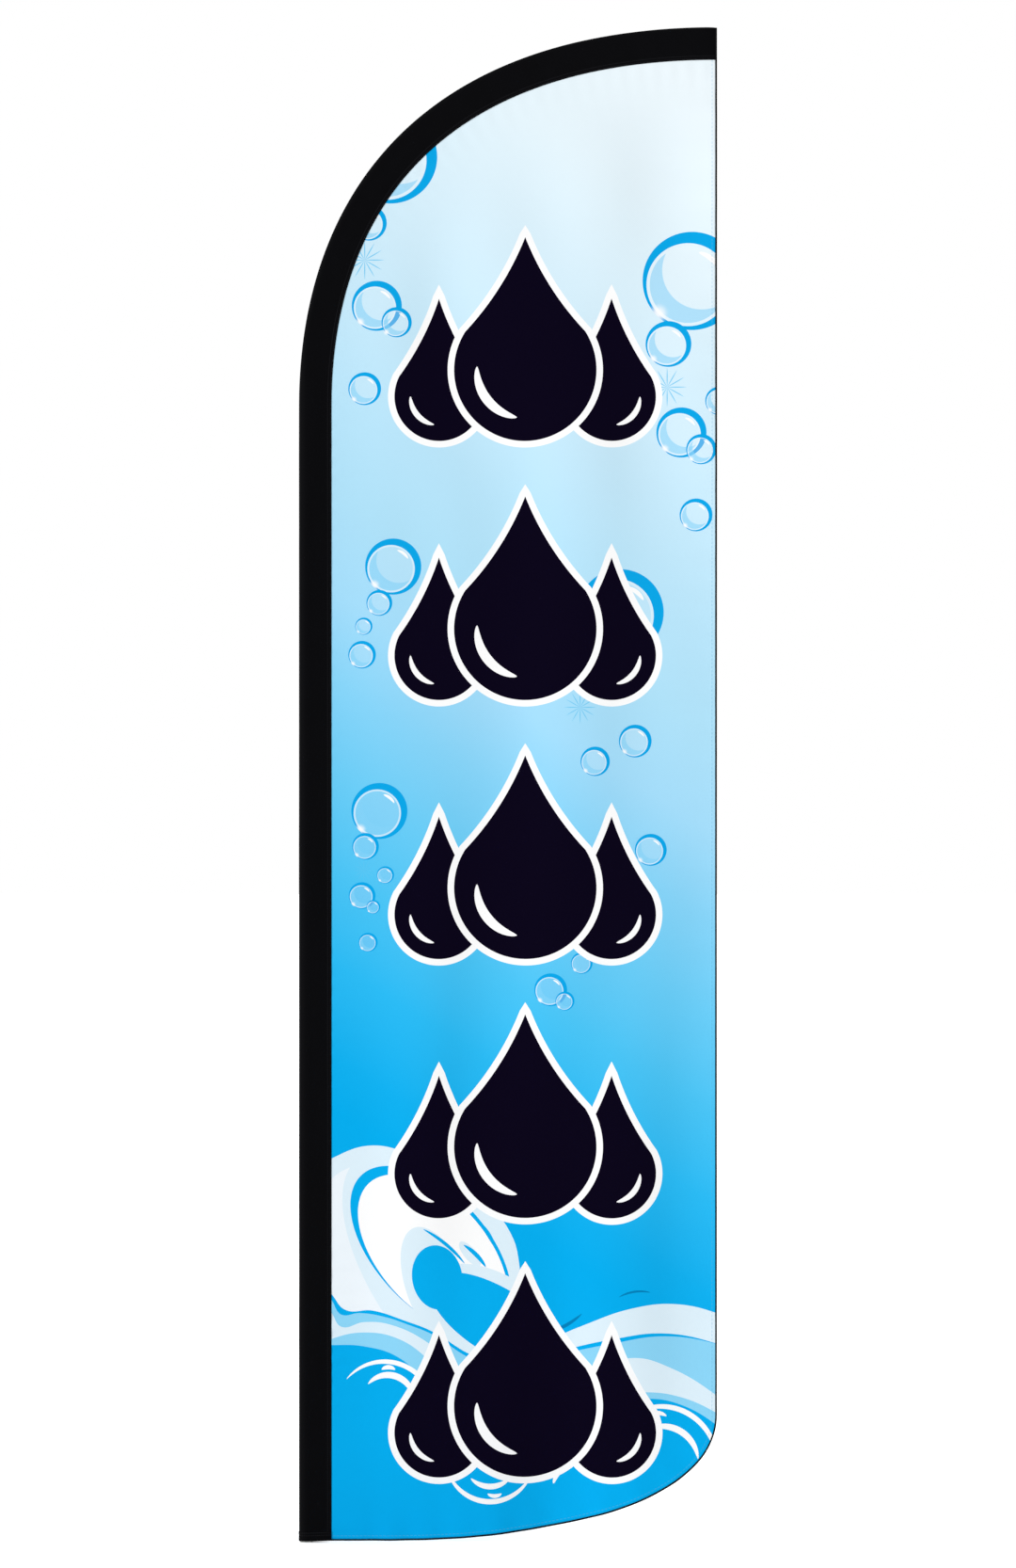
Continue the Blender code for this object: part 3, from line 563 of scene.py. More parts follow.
@dataclass
class WaterPrint:
    """The print: bubbles in fading blue water, waves at the foot and a column of water drops.

    Places are measured from the sleeve's outer edge and from the cloth's lowest edge.
    """

    white: str = "#ffffff"
    ink: str = "#050016"
    ring: str = "#05a6e7"
    deep: str = "#00adee"
    shadow: str = "#0080b8"
    keyline_mm: float = 15.0
    emblem_count: int = 5
    emblem_pitch_mm: float = 600.0
    emblem_base_mm: float = 147.0
    emblem_across_mm: float = 524.0
    middle_drop: Drop = Drop(0, 165, 472)
    middle_shine: Stroke = Stroke(0, 165, 112, 22, 218, 42)
    side_drop: Drop = Drop(200, 103, 330)
    side_shine: Stroke = Stroke(0, 103, 66, 13, -40, 40)
    tilt: float = 0.636  # how much one step across counts against one step up in the fade
    fade: tuple[tuple[float, str], ...] = (
        (1050, "#00adee"),
        (1170, "#0cb0ef"),
        (1390, "#29baf3"),
        (1600, "#49c3f4"),
        (1820, "#69ccf6"),
        (2040, "#86d4f8"),
        (2250, "#a4ddfa"),
        (2480, "#afe1f8"),
        (2700, "#b9e5fa"),
        (3630, "#e6f5fc"),
        (3960, "#eef8fd"),
    )
    bubbles: tuple[Round, ...] = (
        Round(212, 3205, 108),
        Round(162, 3052, 41),
        Round(180, 2860, 58),
        Round(152, 2668, 38),
        Round(910, 2918, 114),
        Round(856, 2772, 53),
        Round(974, 2640, 33),
        Round(886, 2567, 58),
        Round(920, 2376, 38),
        Round(218, 2256, 65),
        Round(186, 2172, 30),
        Round(150, 2118, 20),
        Round(146, 2052, 32),
        Round(745, 2150, 100),
        Round(779, 1852, 38),
        Round(686, 1805, 34),
        Round(186, 1690, 65),
        Round(154, 1608, 31),
        Round(200, 1542, 20),
        Round(146, 1494, 31),
        Round(160, 1386, 22),
        Round(815, 1600, 37),
        Round(655, 1338, 25),
        Round(583, 1276, 38),
    )
    overlapping: tuple[Round, ...] = (
        Round(226, 2822, 35),
        Round(932, 2528, 35),
        Round(172, 1468, 16),
        Round(616, 1250, 22),
    )
    stars: tuple[Round, ...] = (
        Round(152, 2966, 46),
        Round(853, 2672, 46),
        Round(651, 1930, 38),
        Round(150, 1552, 26),
    )
    crest: Hill = Hill(
        "#dff1fb",
        (
            (0, 840), (75, 885), (165, 915), (260, 895), (350, 852), (430, 790), (500, 690), (526, 550),
            (980, 0),
        ),
    )
    crest_back: Oval = Oval("#f0f8fe", (150, 630), (150, 240), 0)
    crest_front: Oval = Oval("#00adee", (340, 600), (350, 160), -55)  # the back shows only outside it
    crest_ovals: tuple[Oval, ...] = (
        Oval("#00adee", (305, 675), (235, 130), -47),
        Oval("#ffffff", (310, 665), (220, 124), -48),
        Oval("#dff1fb", (320, 585), (150, 70), -69),
        Oval("#dff1fb", (455, 528), (168, 88), -30),
        Oval("#00adee", (320, 610), (75, 58), -80),
        Oval("#00adee", (458, 508), (176, 76), -32),
        Oval("#dff1fb", (396, 664), (36, 14), -50),
    )
    hills: tuple[Hill, ...] = (
        Hill(
            "#dff1fb",
            (
                (0, 60), (300, 180), (380, 370), (430, 412), (540, 446), (650, 495), (770, 538), (873, 547),
                (980, 522),
            ),
        ),
        Hill(
            "#00adee",
            (
                (0, 640), (75, 571), (106, 535), (170, 533), (245, 510), (305, 487), (400, 430), (450, 414),
                (580, 434), (720, 466), (840, 480), (980, 452),
            ),
        ),
        Hill(
            "#8dd6f7",
            (
                (0, 630), (75, 558), (96, 524), (140, 527), (200, 518), (255, 500), (305, 480), (400, 421),
                (450, 406), (580, 426), (720, 456), (840, 473), (980, 452),
            ),
        ),
        Hill(
            "#dff1fb",
            (
                (0, 600), (75, 528), (96, 496), (150, 506), (210, 501), (300, 458), (400, 365), (480, 306),
                (540, 302), (620, 352), (700, 402), (775, 424), (860, 400), (980, 326),
            ),
        ),
        Hill(
            "#8dd6f7",
            (
                (0, 430), (75, 467), (150, 482), (230, 468), (300, 420), (370, 345), (450, 284), (540, 262),
                (620, 290), (700, 329), (790, 344), (880, 333), (980, 288),
            ),
        ),
        Hill(
            "#00adee",
            (
                (0, 450), (75, 453), (150, 450), (230, 425), (300, 360), (380, 262), (460, 205), (530, 187),
                (620, 252), (720, 312), (800, 329), (880, 316), (980, 258),
            ),
        ),
    )
    foam: tuple[Stroke, ...] = (
        Stroke(198, 300, 115, 11, 62, 78),
        Stroke(206, 324, 60, 15, 72, 68),
        Stroke(207, 378, 24, 10, 90, 40),
        Stroke(330, 285, 48, 7, 176, 32),
        Stroke(836, 178, 133, 12, 58, 68),
        Stroke(840, 180, 85, 15, 60, 54),
        Stroke(829, 260, 36, 10, 90, 38),
        Stroke(443, 195, 104, 12, -94, 66),
        Stroke(443, 188, 62, 13, -90, 46),
        Stroke(453, 130, 26, 9, -90, 38),
        Stroke(650, 118, 62, 11, 142, 26),
    )
    froth_lines: tuple[Stroke, ...] = (
        Stroke(147, 457, 300, 8, 50, 12),
        Stroke(304, 556, 150, 10, 45, 14),
        Stroke(269, 603, 200, 10, 32, 10),
    )
    currents: tuple[Stroke, ...] = (
        Stroke(530, 655, 180, 8, -62, 16),
        Stroke(545, 648, 196, 7, -58, 11),
        Stroke(790, 480, 98, 5, 98, 22),
    )

    def place(self, graph: Graph) -> Socket:
        """Reads the place on the flat cut, in millimetres, as (across, height, 0)."""
        laid = graph.add("ShaderNodeUVMap", {}, uv_map="flat_cut")
        return graph.add(VECTOR, {0: laid, "Scale": UV_SPAN / MM}, operation="SCALE")

    def water(self, graph: Graph, across: Socket, height: Socket) -> Socket:
        """Fades the blue from the foot at the mast to the free corner at the top.

        Args:
            graph: The material's nodes.
            across: The distance from the sleeve's outer edge.
            height: The height above the cloth's lowest edge.

        Returns:
            The colour.
        """
        level = graph.add(MATH, {0: across, 1: self.tilt, 2: height}, operation="MULTIPLY_ADD")
        share = graph.add(MATH, {0: level, 1: UV_SPAN / MM}, operation="DIVIDE")
        ramp = graph.add("ShaderNodeValToRGB", {0: share})
        stops = ramp.node.color_ramp.elements
        for position, code in self.fade[1:-1]:
            stops.new(position * MM / UV_SPAN)
        for stop, (position, code) in zip(sorted(stops, key=lambda s: s.position), self.fade):
            stop.position = position * MM / UV_SPAN
            stop.color = linear(code)
        return ramp

    def arc(self, graph: Graph, place: Socket, stroke: Stroke) -> Socket:
        """Masks a brush stroke along an arc.

        Args:
            graph: The material's nodes.
            place: The place, in the stroke's own measure.
            stroke: The stroke.

        Returns:
            1 inside it, and 0 outside.
        """
        turned = {
            "Vector": place,
            "Location": (stroke.across, stroke.height, 0),
            "Rotation": (0, 0, math.radians(stroke.aim)),
            "Scale": (stroke.radius, stroke.radius, 1),
        }
        local = graph.add("ShaderNodeMapping", turned, vector_type="TEXTURE")
        length = graph.add(VECTOR, {0: local}, out="Value", operation="LENGTH")
        forward = graph.add("ShaderNodeSeparateXYZ", {0: local})
        facing = graph.add(MATH, {0: forward, 1: length}, operation="DIVIDE")
        limit = math.cos(math.radians(stroke.spread))
        width = stroke.width / 2 / stroke.radius
        ends = {"Value": facing, "From Min": limit, "From Max": 1.0, "To Min": 0.0, "To Max": 1.0}
        taper = graph.add("ShaderNodeMapRange", ends)
        rounded = graph.add(MATH, {0: taper, 1: 0.6}, operation="POWER")
        wide = graph.add(MATH, {0: rounded, 1: width}, operation="MULTIPLY")
        off = graph.add(MATH, {0: length, 1: 1.0}, operation="SUBTRACT")
        off = graph.add(MATH, {0: off}, operation="ABSOLUTE")
        return graph.add(MATH, {0: off, 1: wide}, operation="LESS_THAN")

    def oval(self, graph: Graph, place: Socket, oval: Oval) -> Socket:
        """Masks an oval.

        Args:
            graph: The material's nodes.
            place: The place on the cloth.
            oval: The oval.

        Returns:
            1 inside it, and 0 outside.
        """
        laid = {
            "Vector": place,
            "Location": (*oval.centre, 0),
            "Rotation": (0, 0, math.radians(oval.turn)),
            "Scale": (*oval.radii, 1),
        }
        local = graph.add("ShaderNodeMapping", laid, vector_type="TEXTURE")
        length = graph.add(VECTOR, {0: local}, out="Value", operation="LENGTH")
        return graph.add(MATH, {0: length, 1: 1.0}, operation="LESS_THAN")

    def nearest_round(self, graph: Graph, place: Socket, motifs: Sequence[Round]) -> Socket:
        """Finds the place inside whichever round motif covers it.

        Args:
            graph: The material's nodes.
            place: The place on the cloth.
            motifs: Round motifs that lie clear of each other.

        Returns:
            The place from the motif's centre, with its radius as 1.
        """
        chosen = None
        for motif in motifs:
            size = 1 / motif.radius
            moved = {0: place, 1: (size, size, 0), 2: (-motif.across * size, -motif.height * size, 0)}
            local = graph.add(VECTOR, moved, operation="MULTIPLY_ADD")
            if chosen is None:
                chosen = local
                continue
            length = graph.add(VECTOR, {0: local}, out="Value", operation="LENGTH")
            inside = graph.add(MATH, {0: length, 1: 1.0}, operation="LESS_THAN")
            chosen = graph.add(MIX, {0: inside, 4: chosen, 5: local}, out=1, data_type="VECTOR")
        return chosen

    def within(
        self, graph: Graph, local: Socket, centre: Pair, radius: float, outside: bool = False
    ) -> Socket:
        """Masks the inside of a circle, or its outside.

        Args:
            graph: The material's nodes.
            local: The place in a motif's own measure.
            centre: The circle's centre.
            radius: Its radius.
            outside: True for its outside.

        Returns:
            1 where the place counts, and 0 elsewhere.
        """
        gap = graph.add(VECTOR, {0: local, 1: (*centre, 0)}, out="Value", operation="DISTANCE")
        way = "GREATER_THAN" if outside else "LESS_THAN"
        return graph.add(MATH, {0: gap, 1: radius}, operation=way)

    def draw_bubbles(self, graph: Graph, place: Socket, under: Socket, motifs: Sequence[Round]) -> Socket:
        """Draws bubbles: a rim that is heavier above, a pale inner line, a shaded foot and glints.

        Every size in it is a share of the bubble's radius.

        Args:
            graph: The material's nodes.
            place: The place on the cloth.
            under: The colour so far.
            motifs: Bubbles that lie clear of each other.

        Returns:
            The colour that results.
        """
        local = self.nearest_round(graph, place, motifs)
        body = self.within(graph, local, (0, 0), 1.0)
        low = (-0.075, -0.075)
        colour = graph.paint(under, self.white, body, 0.10)
        inner = self.within(graph, local, low, 0.78)
        shade = graph.both(inner, self.within(graph, local, (0.20, 0.22), 0.80, outside=True))
        colour = graph.paint(colour, "#84d2f7", shade, 0.62)
        line = graph.both(body, self.within(graph, local, low, 0.78, outside=True))
        colour = graph.paint(colour, "#e4f4fd", line, 0.65)
        rim = graph.both(body, self.within(graph, local, low, 0.845, outside=True))
        colour = graph.paint(colour, self.ring, rim)
        glint = self.arc(graph, local, Stroke(0, 0, 0.60, 0.10, 52, 24))
        colour = graph.paint(colour, self.white, graph.both(glint, body))
        spark = graph.add(VECTOR, {0: local, 1: (-0.68, -0.66, 0)}, out="Value", operation="DISTANCE")
        glow = {"Value": spark, "From Min": 0.0, "From Max": 0.26, "To Min": 1.0, "To Max": 0.0}
        glow = graph.add("ShaderNodeMapRange", glow, interpolation_type="SMOOTHERSTEP")
        return graph.paint(colour, self.white, glow, 0.9)

    def draw_stars(self, graph: Graph, place: Socket, under: Socket) -> Socket:
        """Draws the small twelve-rayed sparkles.

        Args:
            graph: The material's nodes.
            place: The place on the cloth.
            under: The colour so far.

        Returns:
            The colour that results.
        """
        local = self.nearest_round(graph, place, self.stars)
        parts = graph.add("ShaderNodeSeparateXYZ", {0: local}).node
        inputs = {0: parts.outputs[1], 1: parts.outputs[0]}
        angle = graph.add(MATH, inputs, operation="ARCTAN2")
        wave = graph.add(MATH, {0: angle, 1: 6.0}, operation="MULTIPLY")
        wave = graph.add(MATH, {0: wave}, operation="SINE")
        wave = graph.add(MATH, {0: wave}, operation="ABSOLUTE")
        length = graph.add(VECTOR, {0: local}, out="Value", operation="LENGTH")
        room = graph.add(MATH, {0: 1.0, 1: length}, operation="SUBTRACT")
        room = graph.add(MATH, {0: room, 1: 0.60}, operation="MULTIPLY")
        rays = graph.add(MATH, {0: wave, 1: room}, operation="LESS_THAN")
        return graph.paint(under, "#5fc4f1", rays, 0.85)

    def draw_crest(
        self, graph: Graph, place: Socket, across: Socket, height: Socket, under: Socket
    ) -> Socket:
        """Draws the curling wave that breaks beside the mast: a hill, and ovals laid over it.

        Args:
            graph: The material's nodes.
            place: The place on the cloth.
            across: Its distance from the sleeve's outer edge.
            height: Its height above the cloth's lowest edge.
            under: The colour so far.

        Returns:
            The colour that results.
        """
        colour = self.draw_hills(graph, across, height, under, (self.crest,))
        front = self.oval(graph, place, self.crest_front)
        back = graph.add(MATH, {0: 1.0, 1: front}, operation="SUBTRACT")
        back = graph.both(back, self.oval(graph, place, self.crest_back))
        colour = graph.paint(colour, self.crest_back.code, back)
        for oval in self.crest_ovals:
            colour = graph.paint(colour, oval.code, self.oval(graph, place, oval))
        for stroke in self.froth_lines:
            colour = graph.paint(colour, self.deep, self.arc(graph, place, stroke))
        return colour

    def draw_hills(
        self, graph: Graph, across: Socket, height: Socket, under: Socket, hills: Sequence[Hill]
    ) -> Socket:
        """Draws waves as bands laid over each other, each under its own crest line.

        Args:
            graph: The material's nodes.
            across: The distance from the sleeve's outer edge.
            height: The height above the cloth's lowest edge.
            under: The colour so far.
            hills: The bands, from the lowest layer up.

        Returns:
            The colour that results.
        """
        metres_across = graph.add(MATH, {0: across, 1: MM}, operation="MULTIPLY")
        metres_up = graph.add(MATH, {0: height, 1: MM}, operation="MULTIPLY")
        colour = under
        for hill in hills:
            crest = graph.add("ShaderNodeFloatCurve", {"Factor": 1.0, "Value": metres_across})
            mapping = crest.node.mapping
            curve = mapping.curves[0]
            places = [(x * MM, z * MM) for x, z in hill.crest]
            curve.points[0].location = places[0]
            curve.points[1].location = places[-1]
            for spot in places[1:-1]:
                curve.points.new(*spot)
            mapping.update()
            under_it = graph.add(MATH, {0: metres_up, 1: crest}, operation="LESS_THAN")
            colour = graph.paint(colour, hill.code, under_it)
        return colour

    def drop_gap(self, graph: Graph, aside: Socket, up: Socket, drop: Drop) -> Socket:
        """Measures how far a place is outside a water drop with a round foot and hollow flanks.

        Args:
            graph: The material's nodes.
            aside: The distance from the drop's axis.
            up: The height above the drop's foot.
            drop: Its sizes.

        Returns:
            The distance in millimetres, negative inside.
        """
        reach = drop.height - drop.radius
        lean = math.asin(drop.radius / reach)
        flank = reach * math.cos(lean)
        hollow = 0.30 * drop.radius
        rise = graph.add(MATH, {0: up, 1: drop.radius}, operation="SUBTRACT")
        along = graph.add(MATH, {0: rise, 1: math.cos(lean)}, operation="MULTIPLY")
        along = graph.add(MATH, {0: aside, 1: -math.sin(lean), 2: along}, operation="MULTIPLY_ADD")
        out = {0: rise, 1: math.sin(lean), 2: -drop.radius}
        out = graph.add(MATH, out, operation="MULTIPLY_ADD")
        out = graph.add(MATH, {0: aside, 1: math.cos(lean), 2: out}, operation="MULTIPLY_ADD")
        left = graph.add(MATH, {0: flank, 1: along}, operation="SUBTRACT")
        dip = graph.add(MATH, {0: along, 1: left}, operation="MULTIPLY")
        dip = graph.add(MATH, {0: dip, 1: 0.0}, operation="MAXIMUM")
        out = graph.add(MATH, {0: dip, 1: hollow / flank**2, 2: out}, operation="MULTIPLY_ADD")
        corner = graph.add("ShaderNodeCombineXYZ", {0: aside, 1: rise})
        foot = graph.add(VECTOR, {0: corner}, out="Value", operation="LENGTH")
        foot = graph.add(MATH, {0: foot, 1: drop.radius}, operation="SUBTRACT")
        above = graph.add(MATH, {0: along, 1: 0.0}, operation="GREATER_THAN")
        return graph.add(MIX, {0: above, 2: foot, 3: out}, data_type="FLOAT")

    def draw_emblems(self, graph: Graph, across: Socket, height: Socket, under: Socket) -> Socket:
        """Draws the column of emblems, each a tall water drop between two small ones.

        Args:
            graph: The material's nodes.
            across: The distance from the sleeve's outer edge.
            height: The height above the cloth's lowest edge.
            under: The colour so far.

        Returns:
            The colour that results.
        """
        start = self.emblem_base_mm - 2 * self.keyline_mm
        above = graph.add(MATH, {0: height, 1: start}, operation="SUBTRACT")
        up = graph.add(MATH, {0: above, 1: self.emblem_pitch_mm}, operation="FLOORED_MODULO")
        up = graph.add(MATH, {0: up, 1: 2 * self.keyline_mm}, operation="SUBTRACT")
        rows = self.emblem_count * self.emblem_pitch_mm
        inside = graph.add(MATH, {0: above, 1: rows}, operation="LESS_THAN")
        began = graph.add(MATH, {0: above, 1: 0.0}, operation="GREATER_THAN")
        inside = graph.both(inside, began)
        aside = graph.add(MATH, {0: across, 1: self.emblem_across_mm}, operation="SUBTRACT")
        spread = graph.add(MATH, {0: aside}, operation="ABSOLUTE")
        beside = graph.add(MATH, {0: spread, 1: self.side_drop.aside}, operation="SUBTRACT")
        beside_off = graph.add(MATH, {0: beside}, operation="ABSOLUTE")
        colour = under
        for drop, off, spot_across, shine in (
            (self.side_drop, beside_off, beside, self.side_shine),
            (self.middle_drop, spread, aside, self.middle_shine),
        ):
            gap = self.drop_gap(graph, off, up, drop)
            edge = graph.add(MATH, {0: gap, 1: self.keyline_mm}, operation="LESS_THAN")
            colour = graph.paint(colour, self.white, graph.both(edge, inside))
            ink = graph.add(MATH, {0: gap, 1: 0.0}, operation="LESS_THAN")
            colour = graph.paint(colour, self.ink, graph.both(ink, inside))
            spot = graph.add("ShaderNodeCombineXYZ", {0: spot_across, 1: up})
            glint = graph.both(self.arc(graph, spot, shine), graph.both(ink, inside))
            colour = graph.paint(colour, self.white, glint)
        return colour

    def draw(self, graph: Graph) -> Socket:
        """Draws the whole print.

        Args:
            graph: The material's nodes.

        Returns:
            Its colour.
        """
        place = self.place(graph)
        parts = graph.add("ShaderNodeSeparateXYZ", {0: place}).node
        across, height = parts.outputs[0], parts.outputs[1]
        colour = self.water(graph, across, height)
        colour = self.draw_stars(graph, place, colour)
        colour = self.draw_bubbles(graph, place, colour, self.bubbles)
        colour = self.draw_bubbles(graph, place, colour, self.overlapping)
        colour = self.draw_crest(graph, place, across, height, colour)
        for stroke in self.currents:
            colour = graph.paint(colour, self.shadow, self.arc(graph, place, stroke))
        colour = self.draw_hills(graph, across, height, colour, self.hills)
        for stroke in self.foam:
            colour = graph.paint(colour, self.white, self.arc(graph, place, stroke))
        return self.draw_emblems(graph, across, height, colour)


@dataclass(frozen=True)
class PrintedKnit:
    """Warp-knitted polyester with a dye-sublimated print: matt, soft and a little milky.

    The knit's holes let light through, so white cloth gives back about two thirds of what falls on
    it, and the eye sees fine ribs close up. Its real ribs are 0.6 mm apart, too fine to show, and
    they are drawn 4 mm apart.
    """

    reflectance: float = 0.65
    rib_mm: float = 4.0
    rib_height: float = 0.00012
    hem_mm: float = 11.0
    fold_mm: float = 3.0  # over which the hem's two plies step down to one
    fold_height: float = 0.0006
    stitch_mm: float = 9.0
    stitch_width_mm: float = 1.8
    thread: str = "#5fb4dc"

    def ribs(self, graph: Graph) -> Socket:
        """Draws the knit's ribs.

        Args:
            graph: The material's nodes.

        Returns:
            The normal that they give the cloth.
        """
        laid = graph.add("ShaderNodeUVMap", {}, uv_map="flat_cut")
        grown = graph.add(VECTOR, {0: laid, "Scale": TURN * UV_SPAN / MM / self.rib_mm}, operation="SCALE")
        wave = graph.add(VECTOR, {0: grown}, operation="SINE")
        parts = graph.add("ShaderNodeSeparateXYZ", {0: wave}).node
        height = graph.add(MATH, {0: parts.outputs[0], 1: parts.outputs[1]}, operation="MULTIPLY")
        return graph.add(BUMP, {"Height": height, "Distance": self.rib_height, "Strength": 0.5})

    def stitches(self, graph: Graph, under: Socket) -> tuple[Socket, Socket]:
        """Draws the hem's fold and its row of stitches.

        Args:
            graph: The material's nodes.
            under: The normal to lay them on.

        Returns:
            The normal, and a mask of the stitches.
        """
        laid = graph.add("ShaderNodeUVMap", {}, uv_map="hem_run")
        parts = graph.add("ShaderNodeSeparateXYZ", {0: laid}).node
        per_span = RUN_SPAN / MM / self.stitch_mm
        run = graph.add(MATH, {0: parts.outputs[0], 1: per_span}, operation="MULTIPLY")
        beat = graph.add(MATH, {0: run, 1: 1.0}, operation="FRACT")
        dash = graph.add(MATH, {0: beat, 1: 0.62}, operation="LESS_THAN")
        depth = graph.add(MATH, {0: parts.outputs[1], 1: RUN_SPAN / MM}, operation="MULTIPLY")
        off = graph.add(MATH, {0: depth, 1: self.hem_mm}, operation="SUBTRACT")
        off = graph.add(MATH, {0: off}, operation="ABSOLUTE")
        row = graph.add(MATH, {0: off, 1: self.stitch_width_mm / 2}, operation="LESS_THAN")
        mask = graph.both(dash, row)
        end = self.hem_mm + self.fold_mm
        fold = {"Value": depth, "From Min": self.hem_mm, "From Max": end, "To Min": 1.0, "To Max": 0.0}
        fold = graph.add("ShaderNodeMapRange", fold, interpolation_type="SMOOTHSTEP")
        sunk = graph.add(MATH, {0: mask, 1: -0.7, 2: fold}, operation="MULTIPLY_ADD")
        hem = {"Height": sunk, "Distance": self.fold_height, "Strength": 0.8, "Normal": under}
        return graph.add(BUMP, hem), mask

    def material(self, artwork: WaterPrint) -> bpy.types.Material:
        """Makes the printed cloth.

        Args:
            artwork: What is printed on it.

        Returns:
            The material.
        """
        graph = Graph("printed_knit_polyester")
        colour = artwork.draw(graph)
        normal, mask = self.stitches(graph, self.ribs(graph))
        colour = graph.paint(colour, self.thread, mask, 0.35)
        where = graph.add("ShaderNodeTexCoord", {}, out="Object")
        cloud = graph.add("ShaderNodeTexNoise", {"Vector": where, "Scale": 2.2, "Detail": 3.0})
        tone = {"Value": cloud, "To Min": self.reflectance - 0.02, "To Max": self.reflectance + 0.02}
        tone = graph.add("ShaderNodeMapRange", tone)
        colour = graph.add(VECTOR, {0: colour, "Scale": tone}, operation="SCALE")
        graph.feed("Base Color", colour)
        graph.feed("Normal", normal)
        graph.set(Roughness=0.82, Specular_IOR_Level=0.03, Sheen_Weight=0.005, Sheen_Roughness=0.5)
        return graph.material


class Weave(Enum):
    """How a black cloth is woven: the distance between its threads as drawn, in millimetres."""

    TAFFETA = 3.0
    TAPE = 2.4
    WEBBING = 2.0


@dataclass(frozen=True)
class BlackCloth:
    """Black woven polyester, dyed through: nearly no light comes back but for a soft sheen on folds.

    Real threads are 0.3 to 0.5 mm apart, too fine to show, so each weave is drawn coarser.
    """

    name: str
    weave: Weave
    code: str = "#020203"
    thread: str = "#17171a"
    rows_mm: tuple[float, ...] = ()  # how far each row of stitches runs from the sewn edge
    stitch_mm: float = 4.5
    stitch_width_mm: float = 1.1
    stitch_depth: float = 0.0004
    thread_height: float = 0.00010
    crease_height: float = 0.0009
    sheen: float = 0.006

    def laid(self, graph: Graph, where: Socket) -> tuple[Socket, Socket]:
        """Reads the place on the cloth, in millimetres.

        Args:
            graph: The material's nodes.
            where: The piece's own coordinates, which serve a cloth with no sewn edge.

        Returns:
            How far along its sewn edge the place is, and how far from that edge.
        """
        if not self.rows_mm:
            parts = graph.add("ShaderNodeSeparateXYZ", {0: where}).node
            scale = 1 / MM
            ends = (parts.outputs[0], parts.outputs[2])
        else:
            sewn = graph.add("ShaderNodeUVMap", {}, uv_map=SEWN)
            parts = graph.add("ShaderNodeSeparateXYZ", {0: sewn}).node
            scale = RUN_SPAN / MM
            ends = (parts.outputs[0], parts.outputs[1])
        run, depth = (graph.add(MATH, {0: end, 1: scale}, operation="MULTIPLY") for end in ends)
        return run, depth

    def threads(self, graph: Graph, run: Socket, depth: Socket) -> Socket:
        """Draws the weave's threads.

        Args:
            graph: The material's nodes.
            run: How far along its sewn edge the place is, in millimetres.
            depth: How far from that edge.

        Returns:
            Their height, from -1 to 1.
        """
        waves = []
        for way in (run, depth):
            turned = graph.add(MATH, {0: way, 1: TURN / self.weave.value}, operation="MULTIPLY")
            waves.append(graph.add(MATH, {0: turned}, operation="SINE"))
        return graph.both(*waves)

    def stitches(self, graph: Graph, run: Socket, depth: Socket) -> Socket | None:
        """Masks the rows of stitches.

        Args:
            graph: The material's nodes.
            run: How far along its sewn edge the place is, in millimetres.
            depth: How far from that edge.

        Returns:
            1 on a stitch and 0 elsewhere, or nothing for a cloth with no stitches.
        """
        beat = graph.add(MATH, {0: run, 1: 1 / self.stitch_mm}, operation="MULTIPLY")
        beat = graph.add(MATH, {0: beat}, operation="FRACT")
        dash = graph.add(MATH, {0: beat, 1: 0.68}, operation="LESS_THAN")
        mask = None
        for row in self.rows_mm:
            off = graph.add(MATH, {0: depth, 1: row}, operation="SUBTRACT")
            off = graph.add(MATH, {0: off}, operation="ABSOLUTE")
            line = graph.add(MATH, {0: off, 1: self.stitch_width_mm / 2}, operation="LESS_THAN")
            mask = line if mask is None else graph.add(MATH, {0: mask, 1: line}, operation="MAXIMUM")
        return None if mask is None else graph.both(mask, dash)

    def material(self) -> bpy.types.Material:
        """Makes the cloth.

        Returns:
            The material.
        """
        graph = Graph(self.name)
        where = graph.add("ShaderNodeTexCoord", {}, out="Object")
        run, depth = self.laid(graph, where)
        threads = self.threads(graph, run, depth)
        woven = {"Height": threads, "Distance": self.thread_height, "Strength": 0.45}
        crease = {"Vector": where, "Scale": 26.0, "Detail": 4.0, "Roughness": 0.55, "Distortion": 0.6}
        crease = graph.add("ShaderNodeTexNoise", crease)
        fine = graph.add(BUMP, woven)
        creased = {"Height": crease, "Distance": self.crease_height, "Strength": 0.6, "Normal": fine}
        normal = graph.add(BUMP, creased)
        wear = graph.add("ShaderNodeTexNoise", {"Vector": where, "Scale": 9.0, "Detail": 2.0})
        dark = linear(self.code)
        lighter = tuple(2.2 * part for part in dark[:3]) + (1.0,)
        colour = graph.add(MIX, {0: wear, 6: dark, 7: lighter}, out=2, data_type="RGBA")
        sewn = self.stitches(graph, run, depth)
        if sewn is not None:
            colour = graph.paint(colour, self.thread, sewn)
            pulled = {"Height": sewn, "Distance": -self.stitch_depth, "Strength": 0.7, "Normal": normal}
            normal = graph.add(BUMP, pulled)
        graph.feed("Base Color", colour)
        graph.feed("Normal", normal)
        dull = graph.add("ShaderNodeMapRange", {"Value": wear, "To Min": 0.62, "To Max": 0.80})
        graph.feed("Roughness", dull)
        graph.set(Specular_IOR_Level=0.03, Sheen_Weight=self.sheen, Sheen_Roughness=0.45)
        return graph.material


class Surface(Enum):
    """How a hard piece's surface was made: its grain as stretch along Z, size in mm and height."""

    DRAWN = (0.02, 0.8, 0.00003)
    TURNED = (30.0, 0.5, 0.00003)
    MOULDED = (1.0, 0.6, 0.00005)
    WOUND = (3.0, 2.0, 0.00004)


